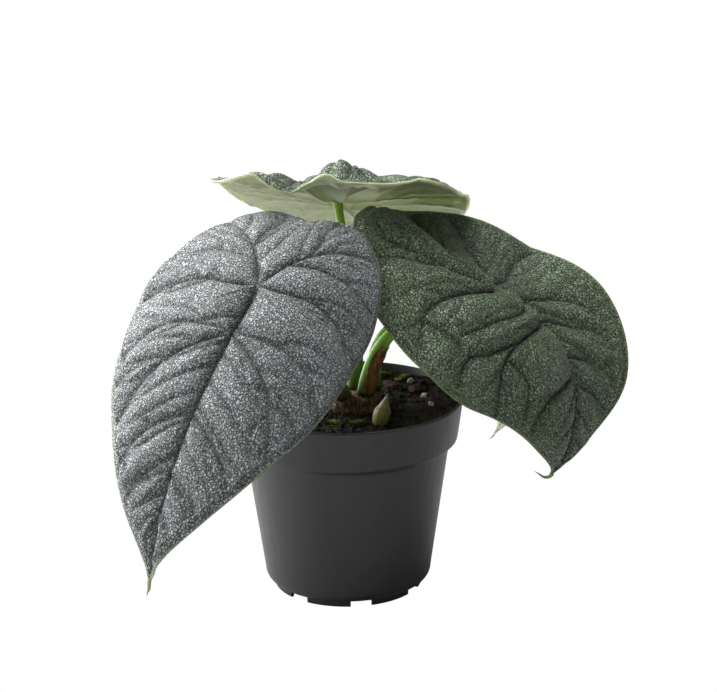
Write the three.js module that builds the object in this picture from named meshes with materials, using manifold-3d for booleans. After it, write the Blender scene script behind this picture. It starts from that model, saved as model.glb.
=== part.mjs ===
// Potted alocasia: a jewel alocasia with quilted leaves, growing in a 12 cm nursery pot.
//
// Millimetres, +Z up. The origin is the centre of the pot's foot on the standing plane,
// and the front of the plant looks along -Y.
//
// Each leaf blade is a thin shell on a bent midrib. A point of a blade is given by its
// distance a along the midrib from the stalk (positive to the tip, negative to the lobes)
// and its distance b to the side, and the leaf's own angles bend that flat shape into place.

import * as THREE from 'three';
import { mergeVertices } from 'three/addons/utils/BufferGeometryUtils.js';
import Module from 'manifold-3d';

const wasm = await Module();
wasm.setup();

// ---------------------------------------------------------------- driving dimensions

// Pot
const POT_HEIGHT = 101;
const RIM_RADIUS = 60;
const RIM_BAND = 21;
const RIM_TAPER = 2.8;
const SHOULDER_STEP = 4.4;
const SHOULDER_DROP = 3.5;
const BODY_TAPER = 9.6;
const WALL = 1.2;
const CORNER_RADIUS = 6;
const FOOT_HEIGHT = 3.4;
const FOOT_WIDTH = 2;
const FOOT_NOTCHES = 7;
const NOTCH_WIDTH = 11;
const CENTRE_FOOT_RADIUS = 12;
const FLOOR = 1.8;
const SLOT_WIDTH = 3.6;
const SLOT_LENGTH = 11;
const SLOT_COUNT = 8;
const ROUND = 48;

// Soil and what lies in it
const GAP = 0.3;
const SOIL_BELOW_RIM = 6.5;
const SOIL_RISE = 3;
const PERLITE = 1.7;
const BARK = 6;
const MOSS = 5;

// Stem
const RHIZOME_RADIUS = 11.5;
const RHIZOME_ABOVE_SOIL = 9;
const RHIZOME_DEPTH = 34;
const RHIZOME_LEAN = 4;
const ROOTS = 5;
const ROOT_RADIUS = 1.8;
const ROOT_REACH = 24;
const PETIOLE_BASE_RADIUS = 4.4;
const PETIOLE_RADIUS = 2.3;
const SHEATH_THICKNESS = 0.6;
const SHEATH_HEIGHT = 21;

// Offset corm in front of the stem
const CORM_RADIUS = 4.7;
const CORM_HEIGHT = 21;

// Leaf blades. Lengths in mm, angles in degrees.
//   reach, azimuth, rise   where the stalk meets the blade, from the stem's axis and the soil
//   length, back, width    stalk to tip, stalk to the end of the lobes, midrib to margin
//   pitch, droop, bow      slope at the stalk, how far it bends down to the tip, and how late
//   heading, sway          compass direction of the midrib and its turn on the way to the tip
//   roll, twist            tilt about the midrib and its growth on the way to the tip
//   lift                   how far the lobes bend down behind the stalk
//   climb                  how far the stalk climbs before it bends over, as a share of its span
//   foldLeft, curlLeft     rise of the left half at the midrib, and its bend over to the margin
//   wave, waves, phase     height, count and place of the waves of the margin
const BLADE = 1.6;
const LEAVES = {
  front_left: {
    reach: RIM_RADIUS + 10.7, azimuth: 234, rise: 82, baseX: -1.5, baseY: -6, leanX: -0.35, leanY: -0.2,
    length: 164, back: 67, width: 65.5, pitch: -27, droop: 58.5, bow: 1.4, climb: 0.42,
    heading: -114.4, sway: -16.6, roll: -2.3, twist: 5, lift: 26,
    foldLeft: 6, foldRight: 7.4, curlLeft: 79, curlRight: 37, wave: 0.6, waves: 9, phase: 0,
  },
  right: {
    reach: RIM_RADIUS + 17.2, azimuth: 7.5, rise: 62.3, baseX: 9.5, baseY: -3.5, leanX: 0.12, leanY: 0,
    length: 124.5, back: 71.3, width: 74.4, pitch: -32, droop: 108.3, bow: 1.5, climb: 0.66,
    heading: -18.2, sway: -23.6, roll: -6.2, twist: 15.4, lift: 5.8,
    foldLeft: -19.3, foldRight: 1, curlLeft: -54, curlRight: 76, wave: 0.8, waves: 9, phase: 60,
  },
  back: {
    reach: RIM_RADIUS - 1.8, azimuth: 93.9, rise: 97.3, baseX: 4, baseY: 5, leanX: 0.1, leanY: 0.2,
    length: 123.3, back: 57.5, width: 66.8, pitch: -16, droop: 45, bow: 1, climb: 0.42,
    heading: 75, sway: 0, roll: -10.5, twist: 0, lift: -9.5,
    foldLeft: 14, foldRight: -4.5, curlLeft: 0, curlRight: 0, wave: 1.8, waves: 7, phase: 30,
  },
  small: {
    reach: RIM_RADIUS + 28.4, azimuth: 30.6, rise: 28.6, baseX: 13.5, baseY: 5.5, leanX: 0, leanY: 0.15,
    length: 66, back: 18, width: 25, pitch: -70, droop: 75, bow: 3, climb: 0.8,
    heading: 32, sway: 0, roll: 0, twist: 0, lift: 35,
    foldLeft: 10, foldRight: 10, curlLeft: 30, curlRight: 30, wave: 0.6, waves: 7, phase: 0,
  },
};

// Half of the blade's outline as shares of length (or back) and width, tip first.
const HALF_OUTLINE = [
  [1, 0], [0.955, 0.035], [0.9, 0.125], [0.78, 0.36], [0.6, 0.66], [0.38, 0.9], [0.14, 1],
  [-0.3, 0.975], [-0.75, 0.76], [-1.04, 0.43], [-1.06, 0.2], [-0.94, 0],
];

// ---------------------------------------------------------------- helpers

const RAD = Math.PI / 180;
const SOIL_Z = POT_HEIGHT - SOIL_BELOW_RIM;

function material(color, roughness, metalness = 0) {
  return new THREE.MeshStandardMaterial({ color, roughness, metalness });
}

function node(name, geometry, look) {
  const mesh = new THREE.Mesh(geometry, look);
  mesh.name = name;
  return mesh;
}

// A geometry from its points and triangles, with shared vertices merged.
function geometryOf(points, triangles) {
  const geometry = new THREE.BufferGeometry();
  geometry.setAttribute('position', new THREE.Float32BufferAttribute(points.flat(), 3));
  geometry.setIndex(triangles.flat());
  return mergeVertices(geometry, 1e-4);
}

function solid(geometry) {
  const bare = geometry.clone();
  bare.deleteAttribute('normal');
  bare.deleteAttribute('uv');
  const merged = mergeVertices(bare, 1e-4);
  return new wasm.Manifold(new wasm.Mesh({
    numProp: 3,
    vertProperties: Float32Array.from(merged.attributes.position.array),
    triVerts: Uint32Array.from(merged.index.array),
  }));
}

function geometryFrom(manifold) {
  const mesh = manifold.getMesh();
  const geometry = new THREE.BufferGeometry();
  geometry.setAttribute('position', new THREE.BufferAttribute(mesh.vertProperties, 3));
  geometry.setIndex(new THREE.BufferAttribute(mesh.triVerts, 1));
  return geometry;
}

// A lathe about Z from a profile of [radius, z] points.
function lathe(profile, segments) {
  const geometry = new THREE.LatheGeometry(profile.map(([r, z]) => new THREE.Vector2(r, z)), segments);
  return geometry.rotateX(Math.PI / 2);
}

// A closed round tube along a curve, its radius given along the way.
function tube(curve, radiusAt, sides, steps) {
  const frames = curve.computeFrenetFrames(steps, false);
  const points = [];
  const triangles = [];
  for (let i = 0; i <= steps; i += 1) {
    const centre = curve.getPointAt(i / steps);
    const radius = radiusAt(i / steps);
    for (let j = 0; j < sides; j += 1) {
      const turn = (2 * Math.PI * j) / sides;
      const point = centre.clone()
        .addScaledVector(frames.normals[i], radius * Math.cos(turn))
        .addScaledVector(frames.binormals[i], radius * Math.sin(turn));
      points.push(point.toArray());
    }
  }
  for (let i = 0; i < steps; i += 1) {
    for (let j = 0; j < sides; j += 1) {
      const a = i * sides + j;
      const b = i * sides + ((j + 1) % sides);
      triangles.push([a, b, b + sides], [a, b + sides, a + sides]);
    }
  }
  const last = steps * sides;
  for (let j = 1; j < sides - 1; j += 1) {
    triangles.push([0, j + 1, j], [last, last + j, last + j + 1]);
  }
  return geometryOf(points, triangles);
}

// A closed lump: a sphere pushed in and out by smooth waves.
function lump(radius, stretch, rough, seed, detail) {
  const geometry = new THREE.IcosahedronGeometry(radius, detail);
  geometry.deleteAttribute('normal');
  geometry.deleteAttribute('uv');
  const merged = mergeVertices(geometry, 1e-4);
  const at = merged.attributes.position;
  for (let i = 0; i < at.count; i += 1) {
    const p = new THREE.Vector3().fromBufferAttribute(at, i).divideScalar(radius);
    const push = 1 + rough * Math.sin(3.1 * p.x + seed) * Math.cos(2.7 * p.y + 2 * seed) * Math.sin(2.9 * p.z - seed);
    at.setXYZ(i, p.x * radius * push * stretch[0], p.y * radius * push * stretch[1], p.z * radius * push * stretch[2]);
  }
  return merged;
}

// ---------------------------------------------------------------- pot

const rimFoot = POT_HEIGHT - RIM_BAND;
const shoulderZ = rimFoot - SHOULDER_DROP;
const bodyTopRadius = RIM_RADIUS - RIM_TAPER - SHOULDER_STEP;
const cornerZ = FOOT_HEIGHT + CORNER_RADIUS;
const bodyFootRadius = bodyTopRadius - BODY_TAPER;
const footOuter = bodyFootRadius - CORNER_RADIUS * 0.75;
const floorTop = FOOT_HEIGHT + FLOOR;

// Outside of the body's rounded lower corner, from the foot ring up to the straight wall.
function corner(inset) {
  const points = [];
  for (let i = 0; i <= 3; i += 1) {
    const turn = (i / 3) * (Math.PI / 2);
    points.push([
      bodyFootRadius - inset - (CORNER_RADIUS * 0.75) * (1 - Math.sin(turn)),
      cornerZ + inset * 0.25 - (CORNER_RADIUS - inset * 0.75) * Math.cos(turn),
    ]);
  }
  return points;
}

// The inner face of the pot, from the floor's dished middle to the rim.
function innerProfile(clearance) {
  const inset = WALL + clearance;
  const floorInside = floorTop + clearance;
  return [
    [CENTRE_FOOT_RADIUS - clearance, FLOOR + clearance],
    [CENTRE_FOOT_RADIUS + FOOT_HEIGHT / 2 - clearance, floorInside],
    [footOuter - inset, floorInside],
    [bodyFootRadius - inset - 0.6, cornerZ],
    [bodyTopRadius - inset, shoulderZ + clearance],
    [RIM_RADIUS - RIM_TAPER - inset, rimFoot + clearance],
  ];
}

function innerRadius(z, clearance) {
  const profile = [...innerProfile(clearance), [RIM_RADIUS - WALL - clearance, POT_HEIGHT]];
  let i = 0;
  while (i < profile.length - 2 && profile[i + 1][1] < z) i += 1;
  const [r0, z0] = profile[i];
  const [r1, z1] = profile[i + 1];
  return r0 + ((r1 - r0) * (z - z0)) / (z1 - z0);
}

function potGeometry() {
  const outside = [
    [0, 0],
    [CENTRE_FOOT_RADIUS, 0],
    [CENTRE_FOOT_RADIUS + FOOT_HEIGHT / 2, FOOT_HEIGHT],
    [footOuter - FOOT_WIDTH - 0.4, FOOT_HEIGHT],
    [footOuter - FOOT_WIDTH, 0],
    [footOuter - 0.3, 0],
    ...corner(0),
    [bodyTopRadius, shoulderZ],
    [RIM_RADIUS - RIM_TAPER, rimFoot],
    [RIM_RADIUS, POT_HEIGHT - 0.8],
    [RIM_RADIUS - 0.4, POT_HEIGHT],
    [RIM_RADIUS - WALL, POT_HEIGHT],
  ];
  const inside = [...innerProfile(0).reverse(), [0, FLOOR]];
  let pot = solid(lathe([...outside, ...inside], ROUND));
  const notch = new THREE.BoxGeometry(2 * CORNER_RADIUS, NOTCH_WIDTH, 2 * FOOT_HEIGHT - 0.02);
  for (let i = 0; i < FOOT_NOTCHES; i += 1) {
    const turn = (2 * Math.PI * i) / FOOT_NOTCHES - 80 * RAD;
    const cut = notch.clone().translate(footOuter, 0, 0).rotateZ(turn);
    pot = pot.subtract(solid(cut));
  }
  const slot = new THREE.BoxGeometry(SLOT_LENGTH, SLOT_WIDTH, 6 * FLOOR);
  const slotAt = (CENTRE_FOOT_RADIUS + footOuter) / 2;
  for (let i = 0; i < SLOT_COUNT; i += 1) {
    const cut = slot.clone().translate(slotAt, 0, floorTop).rotateZ((2 * Math.PI * i) / SLOT_COUNT);
    pot = pot.subtract(solid(cut));
  }
  return geometryFrom(pot);
}

// ---------------------------------------------------------------- rhizome with its roots

// The stem leans to the right as it rises, and carries ring scars.
const stemBaseZ = SOIL_Z - RHIZOME_DEPTH;
const stemTopZ = SOIL_Z + RHIZOME_ABOVE_SOIL;
const stemTopX = 5;

function rhizomeSolid(extra) {
  const steps = 9;
  const profile = [[0, stemBaseZ - extra]];
  for (let i = 0; i <= steps; i += 1) {
    const t = i / steps;
    const swell = 0.55 + 0.5 * Math.sin(Math.min(1, t * 1.25) * Math.PI * 0.5) - 0.06 * t;
    const ring = i % 2 ? 0.5 : -0.2;
    profile.push([RHIZOME_RADIUS * swell + ring + extra, stemBaseZ + t * (stemTopZ - stemBaseZ)]);
  }
  profile[1][1] -= extra;
  profile[profile.length - 1][1] += extra;
  profile.push([0, stemTopZ + extra]);
  const body = lathe(profile, 20);
  const at = body.attributes.position;
  for (let i = 0; i < at.count; i += 1) {
    const rise = (at.getZ(i) - stemBaseZ) / (stemTopZ - stemBaseZ);
    at.setX(i, at.getX(i) + stemTopX - RHIZOME_LEAN * (1 - rise));
  }
  let whole = solid(body);
  for (let i = 0; i < ROOTS; i += 1) {
    const turn = (2 * Math.PI * i) / ROOTS + 0.4;
    const startZ = stemBaseZ + 4 + 2 * (i % 3);
    const out = new THREE.Vector3(Math.cos(turn), Math.sin(turn), 0);
    const from = new THREE.Vector3(stemTopX - RHIZOME_LEAN, 0, startZ);
    const curve = new THREE.QuadraticBezierCurve3(
      from,
      from.clone().addScaledVector(out, ROOT_REACH * 0.8).add(new THREE.Vector3(0, 0, -4)),
      from.clone().addScaledVector(out, ROOT_REACH).add(new THREE.Vector3(0, 0, -ROOT_REACH * 1.4 - extra)),
    );
    const root = tube(curve, (t) => ROOT_RADIUS * (1 - 0.55 * t) + extra, 6, 5);
    whole = whole.add(solid(root));
  }
  return whole;
}

// ---------------------------------------------------------------- leaf blades

function smoothHalf(steps) {
  const spline = new THREE.SplineCurve(HALF_OUTLINE.map(([a, b]) => new THREE.Vector2(a, b)));
  return spline.getPoints(steps);
}

// The whole outline in mm, in even steps round the margin, starting at the tip.
function bladeOutline(leaf, count) {
  const half = smoothHalf(120).map((p) => new THREE.Vector2(
    p.x * (p.x > 0 ? leaf.length : leaf.back),
    p.y * leaf.width,
  ));
  const other = half.slice(1, -1).reverse().map((p) => new THREE.Vector2(p.x, -p.y));
  const loop = [...half, ...other, half[0]];
  const run = [0];
  for (let i = 1; i < loop.length; i += 1) run.push(run[i - 1] + loop[i].distanceTo(loop[i - 1]));
  const total = run[run.length - 1];
  const points = [];
  let k = 0;
  for (let i = 0; i < count; i += 1) {
    const want = (total * i) / count;
    while (run[k + 1] < want) k += 1;
    const share = (want - run[k]) / (run[k + 1] - run[k]);
    points.push(loop[k].clone().lerp(loop[k + 1], share));
  }
  return points;
}

// Directions along the midrib (tangent), to its left (side) and out of the upper face (up).
function midribFrame(leaf, a) {
  const u = a / (a > 0 ? leaf.length : leaf.back);
  const ahead = Math.max(0, u);
  const pitch = (leaf.pitch - leaf.droop * ahead ** leaf.bow - leaf.lift * Math.min(0, u)) * RAD;
  const heading = (leaf.heading + leaf.sway * ahead) * RAD;
  const roll = (leaf.roll + leaf.twist * ahead) * RAD;
  const tangent = new THREE.Vector3(
    Math.cos(pitch) * Math.cos(heading),
    Math.cos(pitch) * Math.sin(heading),
    Math.sin(pitch),
  );
  const level = new THREE.Vector3(-Math.sin(heading), Math.cos(heading), 0);
  const upright = tangent.clone().cross(level);
  const side = level.multiplyScalar(Math.cos(roll)).addScaledVector(upright, Math.sin(roll));
  return { tangent, side, up: tangent.clone().cross(side) };
}

function junction(leaf) {
  return new THREE.Vector3(
    leaf.reach * Math.cos(leaf.azimuth * RAD),
    leaf.reach * Math.sin(leaf.azimuth * RAD),
    SOIL_Z + leaf.rise,
  );
}

// The midrib's points, added up step by step from the stalk.
function midribTable(leaf) {
  const steps = 40;
  const table = { ahead: [junction(leaf)], behind: [junction(leaf)], steps };
  for (let i = 0; i < steps; i += 1) {
    const ahead = (leaf.length * (i + 0.5)) / steps;
    const behind = (-1.1 * leaf.back * (i + 0.5)) / steps;
    const on = table.ahead[i].clone().addScaledVector(midribFrame(leaf, ahead).tangent, leaf.length / steps);
    const off = table.behind[i].clone().addScaledVector(midribFrame(leaf, behind).tangent, (-1.1 * leaf.back) / steps);
    table.ahead.push(on);
    table.behind.push(off);
  }
  return table;
}

function midribPoint(leaf, table, a) {
  const list = a > 0 ? table.ahead : table.behind;
  const place = (a > 0 ? a / leaf.length : -a / (1.1 * leaf.back)) * table.steps;
  const i = Math.min(Math.floor(place), table.steps - 1);
  return list[i].clone().lerp(list[i + 1], place - i);
}

// A point of the upper face. share is how far it lies from the stalk to the margin, and turn
// how far round the margin.
function bladePoint(leaf, table, a, b, share, turn) {
  const frame = midribFrame(leaf, a);
  const toLeft = b > 0;
  const away = Math.abs(b);
  const ahead = Math.max(0, a / leaf.length);
  const fold = (toLeft ? leaf.foldLeft : leaf.foldRight) * RAD * (1 - 0.4 * ahead);
  const curl = (toLeft ? leaf.curlLeft : leaf.curlRight) * RAD;
  const bend = Math.abs(curl) < 1e-4 ? 1e-6 : curl / leaf.width;
  const end = fold - bend * away;
  const across = (Math.sin(fold) - Math.sin(end)) / bend;
  const high = (Math.cos(end) - Math.cos(fold)) / bend;
  const ripple = leaf.wave * share ** 3 * Math.sin(leaf.waves * turn + leaf.phase * RAD);
  return midribPoint(leaf, table, a)
    .addScaledVector(frame.side, toLeft ? across : -across)
    .addScaledVector(frame.up, high + ripple);
}

function bladeGeometry(leaf, sectors, rings) {
  const table = midribTable(leaf);
  const outline = bladeOutline(leaf, sectors);
  const upper = [bladePoint(leaf, table, 0, 0, 0, 0)];
  for (let k = 1; k <= rings; k += 1) {
    const share = k / rings;
    outline.forEach((p, i) => {
      const turn = (2 * Math.PI * i) / sectors;
      upper.push(bladePoint(leaf, table, p.x * share, p.y * share, share, turn));
    });
  }
  const at = (k, i) => (k === 0 ? 0 : 1 + (k - 1) * sectors + ((i + sectors) % sectors));
  const faces = [];
  for (let i = 0; i < sectors; i += 1) faces.push([0, at(1, i), at(1, i + 1)]);
  for (let k = 1; k < rings; k += 1) {
    for (let i = 0; i < sectors; i += 1) {
      faces.push([at(k, i), at(k + 1, i), at(k + 1, i + 1)], [at(k, i), at(k + 1, i + 1), at(k, i + 1)]);
    }
  }
  // The under face lies the blade's thickness below, thinner at the margin.
  const normals = upper.map(() => new THREE.Vector3());
  faces.forEach(([a, b, c]) => {
    const normal = upper[b].clone().sub(upper[a]).cross(upper[c].clone().sub(upper[a]));
    [a, b, c].forEach((v) => normals[v].add(normal));
  });
  const under = upper.map((p, v) => {
    const ring = v === 0 ? 0 : Math.ceil(v / sectors);
    const thick = BLADE * (ring === rings ? 0.55 : 1);
    return p.clone().addScaledVector(normals[v].normalize(), -thick);
  });
  const shift = upper.length;
  const all = [...faces, ...faces.map(([a, b, c]) => [a + shift, c + shift, b + shift])];
  for (let i = 0; i < sectors; i += 1) {
    const a = at(rings, i);
    const b = at(rings, i + 1);
    all.push([a, a + shift, b + shift], [a, b + shift, b]);
  }
  return geometryOf([...upper, ...under].map((p) => p.toArray()), all);
}

// ---------------------------------------------------------------- leaf stalks and sheaths

// A stalk rises from the top of the rhizome and meets the blade's under face square on.
function stalkCurve(leaf) {
  const frame = midribFrame(leaf, 0);
  const fold = ((leaf.foldLeft + leaf.foldRight) / 2) * RAD;
  const below = BLADE + GAP + 0.15 + PETIOLE_RADIUS * Math.max(0, -Math.sin(fold));
  const end = junction(leaf).addScaledVector(frame.up, -below);
  const first = new THREE.Vector3(leaf.leanX, leaf.leanY, 1).normalize();
  const tip = PETIOLE_BASE_RADIUS * Math.hypot(first.x, first.y);
  const start = new THREE.Vector3(leaf.baseX, leaf.baseY, stemTopZ + GAP + tip);
  const span = end.distanceTo(start);
  const lean = first.multiplyScalar(span * leaf.climb);
  return new THREE.CubicBezierCurve3(
    start,
    start.clone().add(lean),
    end.clone().addScaledVector(frame.up, -span * 0.28),
    end,
  );
}

function stalkRadius(t) {
  return PETIOLE_RADIUS + (PETIOLE_BASE_RADIUS - PETIOLE_RADIUS) * (1 - Math.min(1, t * 1.8)) ** 1.5;
}

// A papery sheath: a strip that wraps part of the way round a stalk, frayed at its top.
function sheathGeometry(curve, from, to, seed) {
  const around = 8;
  const along = 4;
  const length = curve.getLength();
  const points = [];
  for (let layer = 0; layer < 2; layer += 1) {
    for (let i = 0; i <= along; i += 1) {
      for (let j = 0; j <= around; j += 1) {
        const fray = 1 - 0.16 * (1 + Math.sin(j * 2.3 + seed));
        const t = (1 + (SHEATH_HEIGHT * fray * i) / along) / length;
        const turn = (from + ((to - from) * j) / around) * RAD;
        const radius = stalkRadius(t) + GAP + 0.1 + layer * SHEATH_THICKNESS;
        const tangent = curve.getTangentAt(t);
        const right = new THREE.Vector3(1, 0, 0).addScaledVector(tangent, -tangent.x).normalize();
        const back = tangent.clone().cross(right);
        const point = curve.getPointAt(t)
          .addScaledVector(right, radius * Math.cos(turn))
          .addScaledVector(back, radius * Math.sin(turn));
        points.push(point.toArray());
      }
    }
  }
  const wide = around + 1;
  const layerSize = wide * (along + 1);
  const id = (layer, i, j) => layer * layerSize + i * wide + j;
  const triangles = [];
  const quad = (a, b, c, d) => triangles.push([a, b, c], [a, c, d]);
  for (let i = 0; i < along; i += 1) {
    for (let j = 0; j < around; j += 1) {
      quad(id(1, i, j), id(1, i, j + 1), id(1, i + 1, j + 1), id(1, i + 1, j));
      quad(id(0, i, j), id(0, i + 1, j), id(0, i + 1, j + 1), id(0, i, j + 1));
    }
    quad(id(0, i, 0), id(1, i, 0), id(1, i + 1, 0), id(0, i + 1, 0));
    quad(id(0, i, around), id(0, i + 1, around), id(1, i + 1, around), id(1, i, around));
  }
  for (let j = 0; j < around; j += 1) {
    quad(id(0, 0, j), id(0, 0, j + 1), id(1, 0, j + 1), id(1, 0, j));
    quad(id(0, along, j), id(1, along, j), id(1, along, j + 1), id(0, along, j + 1));
  }
  return geometryOf(points, triangles);
}

// ---------------------------------------------------------------- soil and small things

function soilHeight(x, y) {
  const low = 0.9 * Math.sin(x * 0.16 + 1.1) * Math.cos(y * 0.19 - 0.6);
  const backRight = SOIL_RISE * THREE.MathUtils.smoothstep(x * 0.35 + y, 10, 55);
  return SOIL_Z + low + backRight;
}

function soilSolid() {
  const clearance = GAP;
  const bottom = innerProfile(clearance);
  const top = innerRadius(SOIL_Z, clearance);
  const profile = [[0, FLOOR + clearance], ...bottom, [top, SOIL_Z]];
  const rings = 6;
  for (let i = rings - 1; i >= 0; i -= 1) profile.push([(top * i) / rings, SOIL_Z]);
  const geometry = lathe(profile, ROUND);
  const at = geometry.attributes.position;
  for (let i = 0; i < at.count; i += 1) {
    if (Math.abs(at.getZ(i) - SOIL_Z) < 1e-3) {
      const radius = Math.hypot(at.getX(i), at.getY(i));
      const edge = 1 - THREE.MathUtils.smoothstep(radius, top - 0.5, top);
      const rise = soilHeight(at.getX(i), at.getY(i)) - SOIL_Z;
      at.setZ(i, SOIL_Z + Math.min(rise, rise * edge));
    }
  }
  return solid(geometry);
}

// Grains, chips and moss: [name, kind, x, y, seed].
const LITTER = [
  ['perlite_grain_1', 'perlite', 40.5, 14, 0.4],
  ['perlite_grain_2', 'perlite', 43.5, -0.5, 1.7],
  ['perlite_grain_3', 'perlite', 34, 33, 2.9],
  ['perlite_grain_4', 'perlite', -22, 20, 4.2],
  ['perlite_grain_5', 'perlite', -30, -14, 5.5],
  ['perlite_grain_6', 'perlite', 6, 33, 3.6],
  ['bark_chip_1', 'bark', 24, 28, 1.2],
  ['bark_chip_2', 'bark', 37, 23, 2.6],
  ['bark_chip_3', 'bark', -24, 4, 0.7],
  ['moss_clump_1', 'moss', -6, -26, 0.9],
  ['moss_clump_2', 'moss', 5, -28, 2.2],
  ['moss_clump_3', 'moss', 19, 45, 3.1],
  ['moss_clump_4', 'moss', 30, 41, 4.6],
  ['moss_clump_5', 'moss', -18, 33, 5.2],
];

function litterLump(kind, seed, extra) {
  if (kind === 'perlite') return lump(PERLITE + extra, [1, 0.9, 0.85], 0.1, seed, 1);
  if (kind === 'bark') return lump(BARK + extra, [1, 0.62, 0.3], 0.15, seed, 1);
  return lump(MOSS + extra, [1, 0.8, 0.45], 0.12, seed, 1);
}

function litterPlace(geometry, item) {
  const [, kind, x, y, seed] = item;
  const sink = kind === 'perlite' ? -0.2 : 0.2;
  return geometry.rotateZ(seed).translate(x, y, soilHeight(x, y) + sink);
}

// The corm: a pointed bulb, leaning a little to the right.
const CORM_X = 16;
const CORM_Y = -26;

function cormGeometry(extra) {
  const profile = [[0, -extra]];
  const steps = 8;
  for (let i = 0; i < steps; i += 1) {
    const t = i / steps;
    const swell = Math.sin(Math.PI * Math.min(1, (0.28 + t) / 1.28) ** 1.15) ** 1.1;
    profile.push([CORM_RADIUS * swell * (1 - 0.25 * t) + extra, t * CORM_HEIGHT - (i ? 0 : extra)]);
  }
  profile.push([0, CORM_HEIGHT + extra]);
  return lathe(profile, 16)
    .rotateY(11 * RAD)
    .translate(CORM_X, CORM_Y, soilHeight(CORM_X, CORM_Y) - 3);
}

// ---------------------------------------------------------------- build

const potLook = material(0x34383c, 0.5);
const soilLook = material(0x14110c, 0.95);
const stemLook = material(0x3d2a18, 0.9);
const upperLook = material(0x6a726e, 0.55);
const deepLook = material(0x46543f, 0.5);
const paleLook = material(0x939b7a, 0.6);
const stalkLook = material(0x5f7a2c, 0.5);
const sheathLook = material(0x6b4324, 0.8);
const cormLook = material(0x8d9260, 0.5);
const perliteLook = material(0xc9c4b8, 0.9);
const barkLook = material(0x4a2f22, 0.9);
const mossLook = material(0x5c6a2a, 0.95);
const litterLooks = { perlite: perliteLook, bark: barkLook, moss: mossLook };
const bladeLooks = { front_left: upperLook, right: deepLook, back: paleLook, small: deepLook };

const plant = new THREE.Group();
plant.add(node('nursery_pot', potGeometry(), potLook));

const rhizome = rhizomeSolid(0);
plant.add(node('rhizome', geometryFrom(rhizome), stemLook));
plant.add(node('offset_corm', cormGeometry(0), cormLook));

let soil = soilSolid().subtract(rhizomeSolid(GAP)).subtract(solid(cormGeometry(GAP)));
LITTER.forEach((item) => {
  const [name, kind, , , seed] = item;
  plant.add(node(name, litterPlace(litterLump(kind, seed, 0), item), litterLooks[kind]));
  soil = soil.subtract(solid(litterPlace(litterLump(kind, seed, GAP), item)));
});
plant.add(node('potting_soil', geometryFrom(soil), soilLook));

Object.entries(LEAVES).forEach(([name, leaf]) => {
  plant.add(node(`leaf_${name}`, bladeGeometry(leaf, 48, 5), bladeLooks[name]));
  plant.add(node(`petiole_${name}`, tube(stalkCurve(leaf), stalkRadius, 10, 14), stalkLook));
});

plant.add(node('papery_sheath_right', sheathGeometry(stalkCurve(LEAVES.right), -110, 60, 0.5), sheathLook));
plant.add(node('papery_sheath_left', sheathGeometry(stalkCurve(LEAVES.front_left), 110, 290, 2.4), sheathLook));

export default plant;
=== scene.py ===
"""Looks of the potted alocasia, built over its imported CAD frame. Metres, +Z up, front along -Y.

Leaf values, pot profile and places repeat the driving dimensions of the CAD source in millimetres;
MM turns them into metres when a mesh is made.
"""

import math
import random

import bpy
import numpy as np
from mathutils import Matrix, Vector, noise
from mathutils.kdtree import KDTree


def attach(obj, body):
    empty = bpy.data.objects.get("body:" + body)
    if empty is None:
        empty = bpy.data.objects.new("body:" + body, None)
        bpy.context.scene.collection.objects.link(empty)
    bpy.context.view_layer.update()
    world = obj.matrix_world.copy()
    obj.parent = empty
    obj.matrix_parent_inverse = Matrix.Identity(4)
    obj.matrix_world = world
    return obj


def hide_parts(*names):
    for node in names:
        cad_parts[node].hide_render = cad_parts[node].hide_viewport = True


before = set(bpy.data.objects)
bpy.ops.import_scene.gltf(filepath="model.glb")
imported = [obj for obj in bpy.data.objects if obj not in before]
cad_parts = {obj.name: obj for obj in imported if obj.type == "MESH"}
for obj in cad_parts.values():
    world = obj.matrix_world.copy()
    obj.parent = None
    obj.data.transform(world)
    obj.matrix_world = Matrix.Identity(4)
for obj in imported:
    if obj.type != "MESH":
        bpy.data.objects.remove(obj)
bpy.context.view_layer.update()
MM = 0.001
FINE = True

# ---- sizes, as in the CAD source

POT_HEIGHT = 101
RIM_RADIUS = 60
RIM_BAND = 21
RIM_TAPER = 2.8
SHOULDER_STEP = 4.4
SHOULDER_DROP = 3.5
BODY_TAPER = 9.6
WALL = 1.2
CORNER_RADIUS = 6
FOOT_HEIGHT = 3.4
FOOT_WIDTH = 2
FOOT_NOTCHES = 7
NOTCH_WIDTH = 11
CENTRE_FOOT_RADIUS = 12
FLOOR = 1.8
SLOT_WIDTH = 3.6
SLOT_LENGTH = 11
SLOT_COUNT = 8
GAP = 0.3
SOIL_BELOW_RIM = 6.5
SOIL_RISE = 3
RHIZOME_RADIUS = 11.5
RHIZOME_ABOVE_SOIL = 9
RHIZOME_DEPTH = 34
RHIZOME_LEAN = 4
STEM_TOP_X = 5
PETIOLE_BASE_RADIUS = 4.4
PETIOLE_RADIUS = 2.3
SHEATH_HEIGHT = 21
CORM_RADIUS = 4.7
CORM_HEIGHT = 21
CORM_X = 16
CORM_Y = -26
BLADE = 1.6

SOIL_Z = POT_HEIGHT - SOIL_BELOW_RIM
STEM_TOP_Z = SOIL_Z + RHIZOME_ABOVE_SOIL
STEM_BASE_Z = SOIL_Z - RHIZOME_DEPTH

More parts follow.
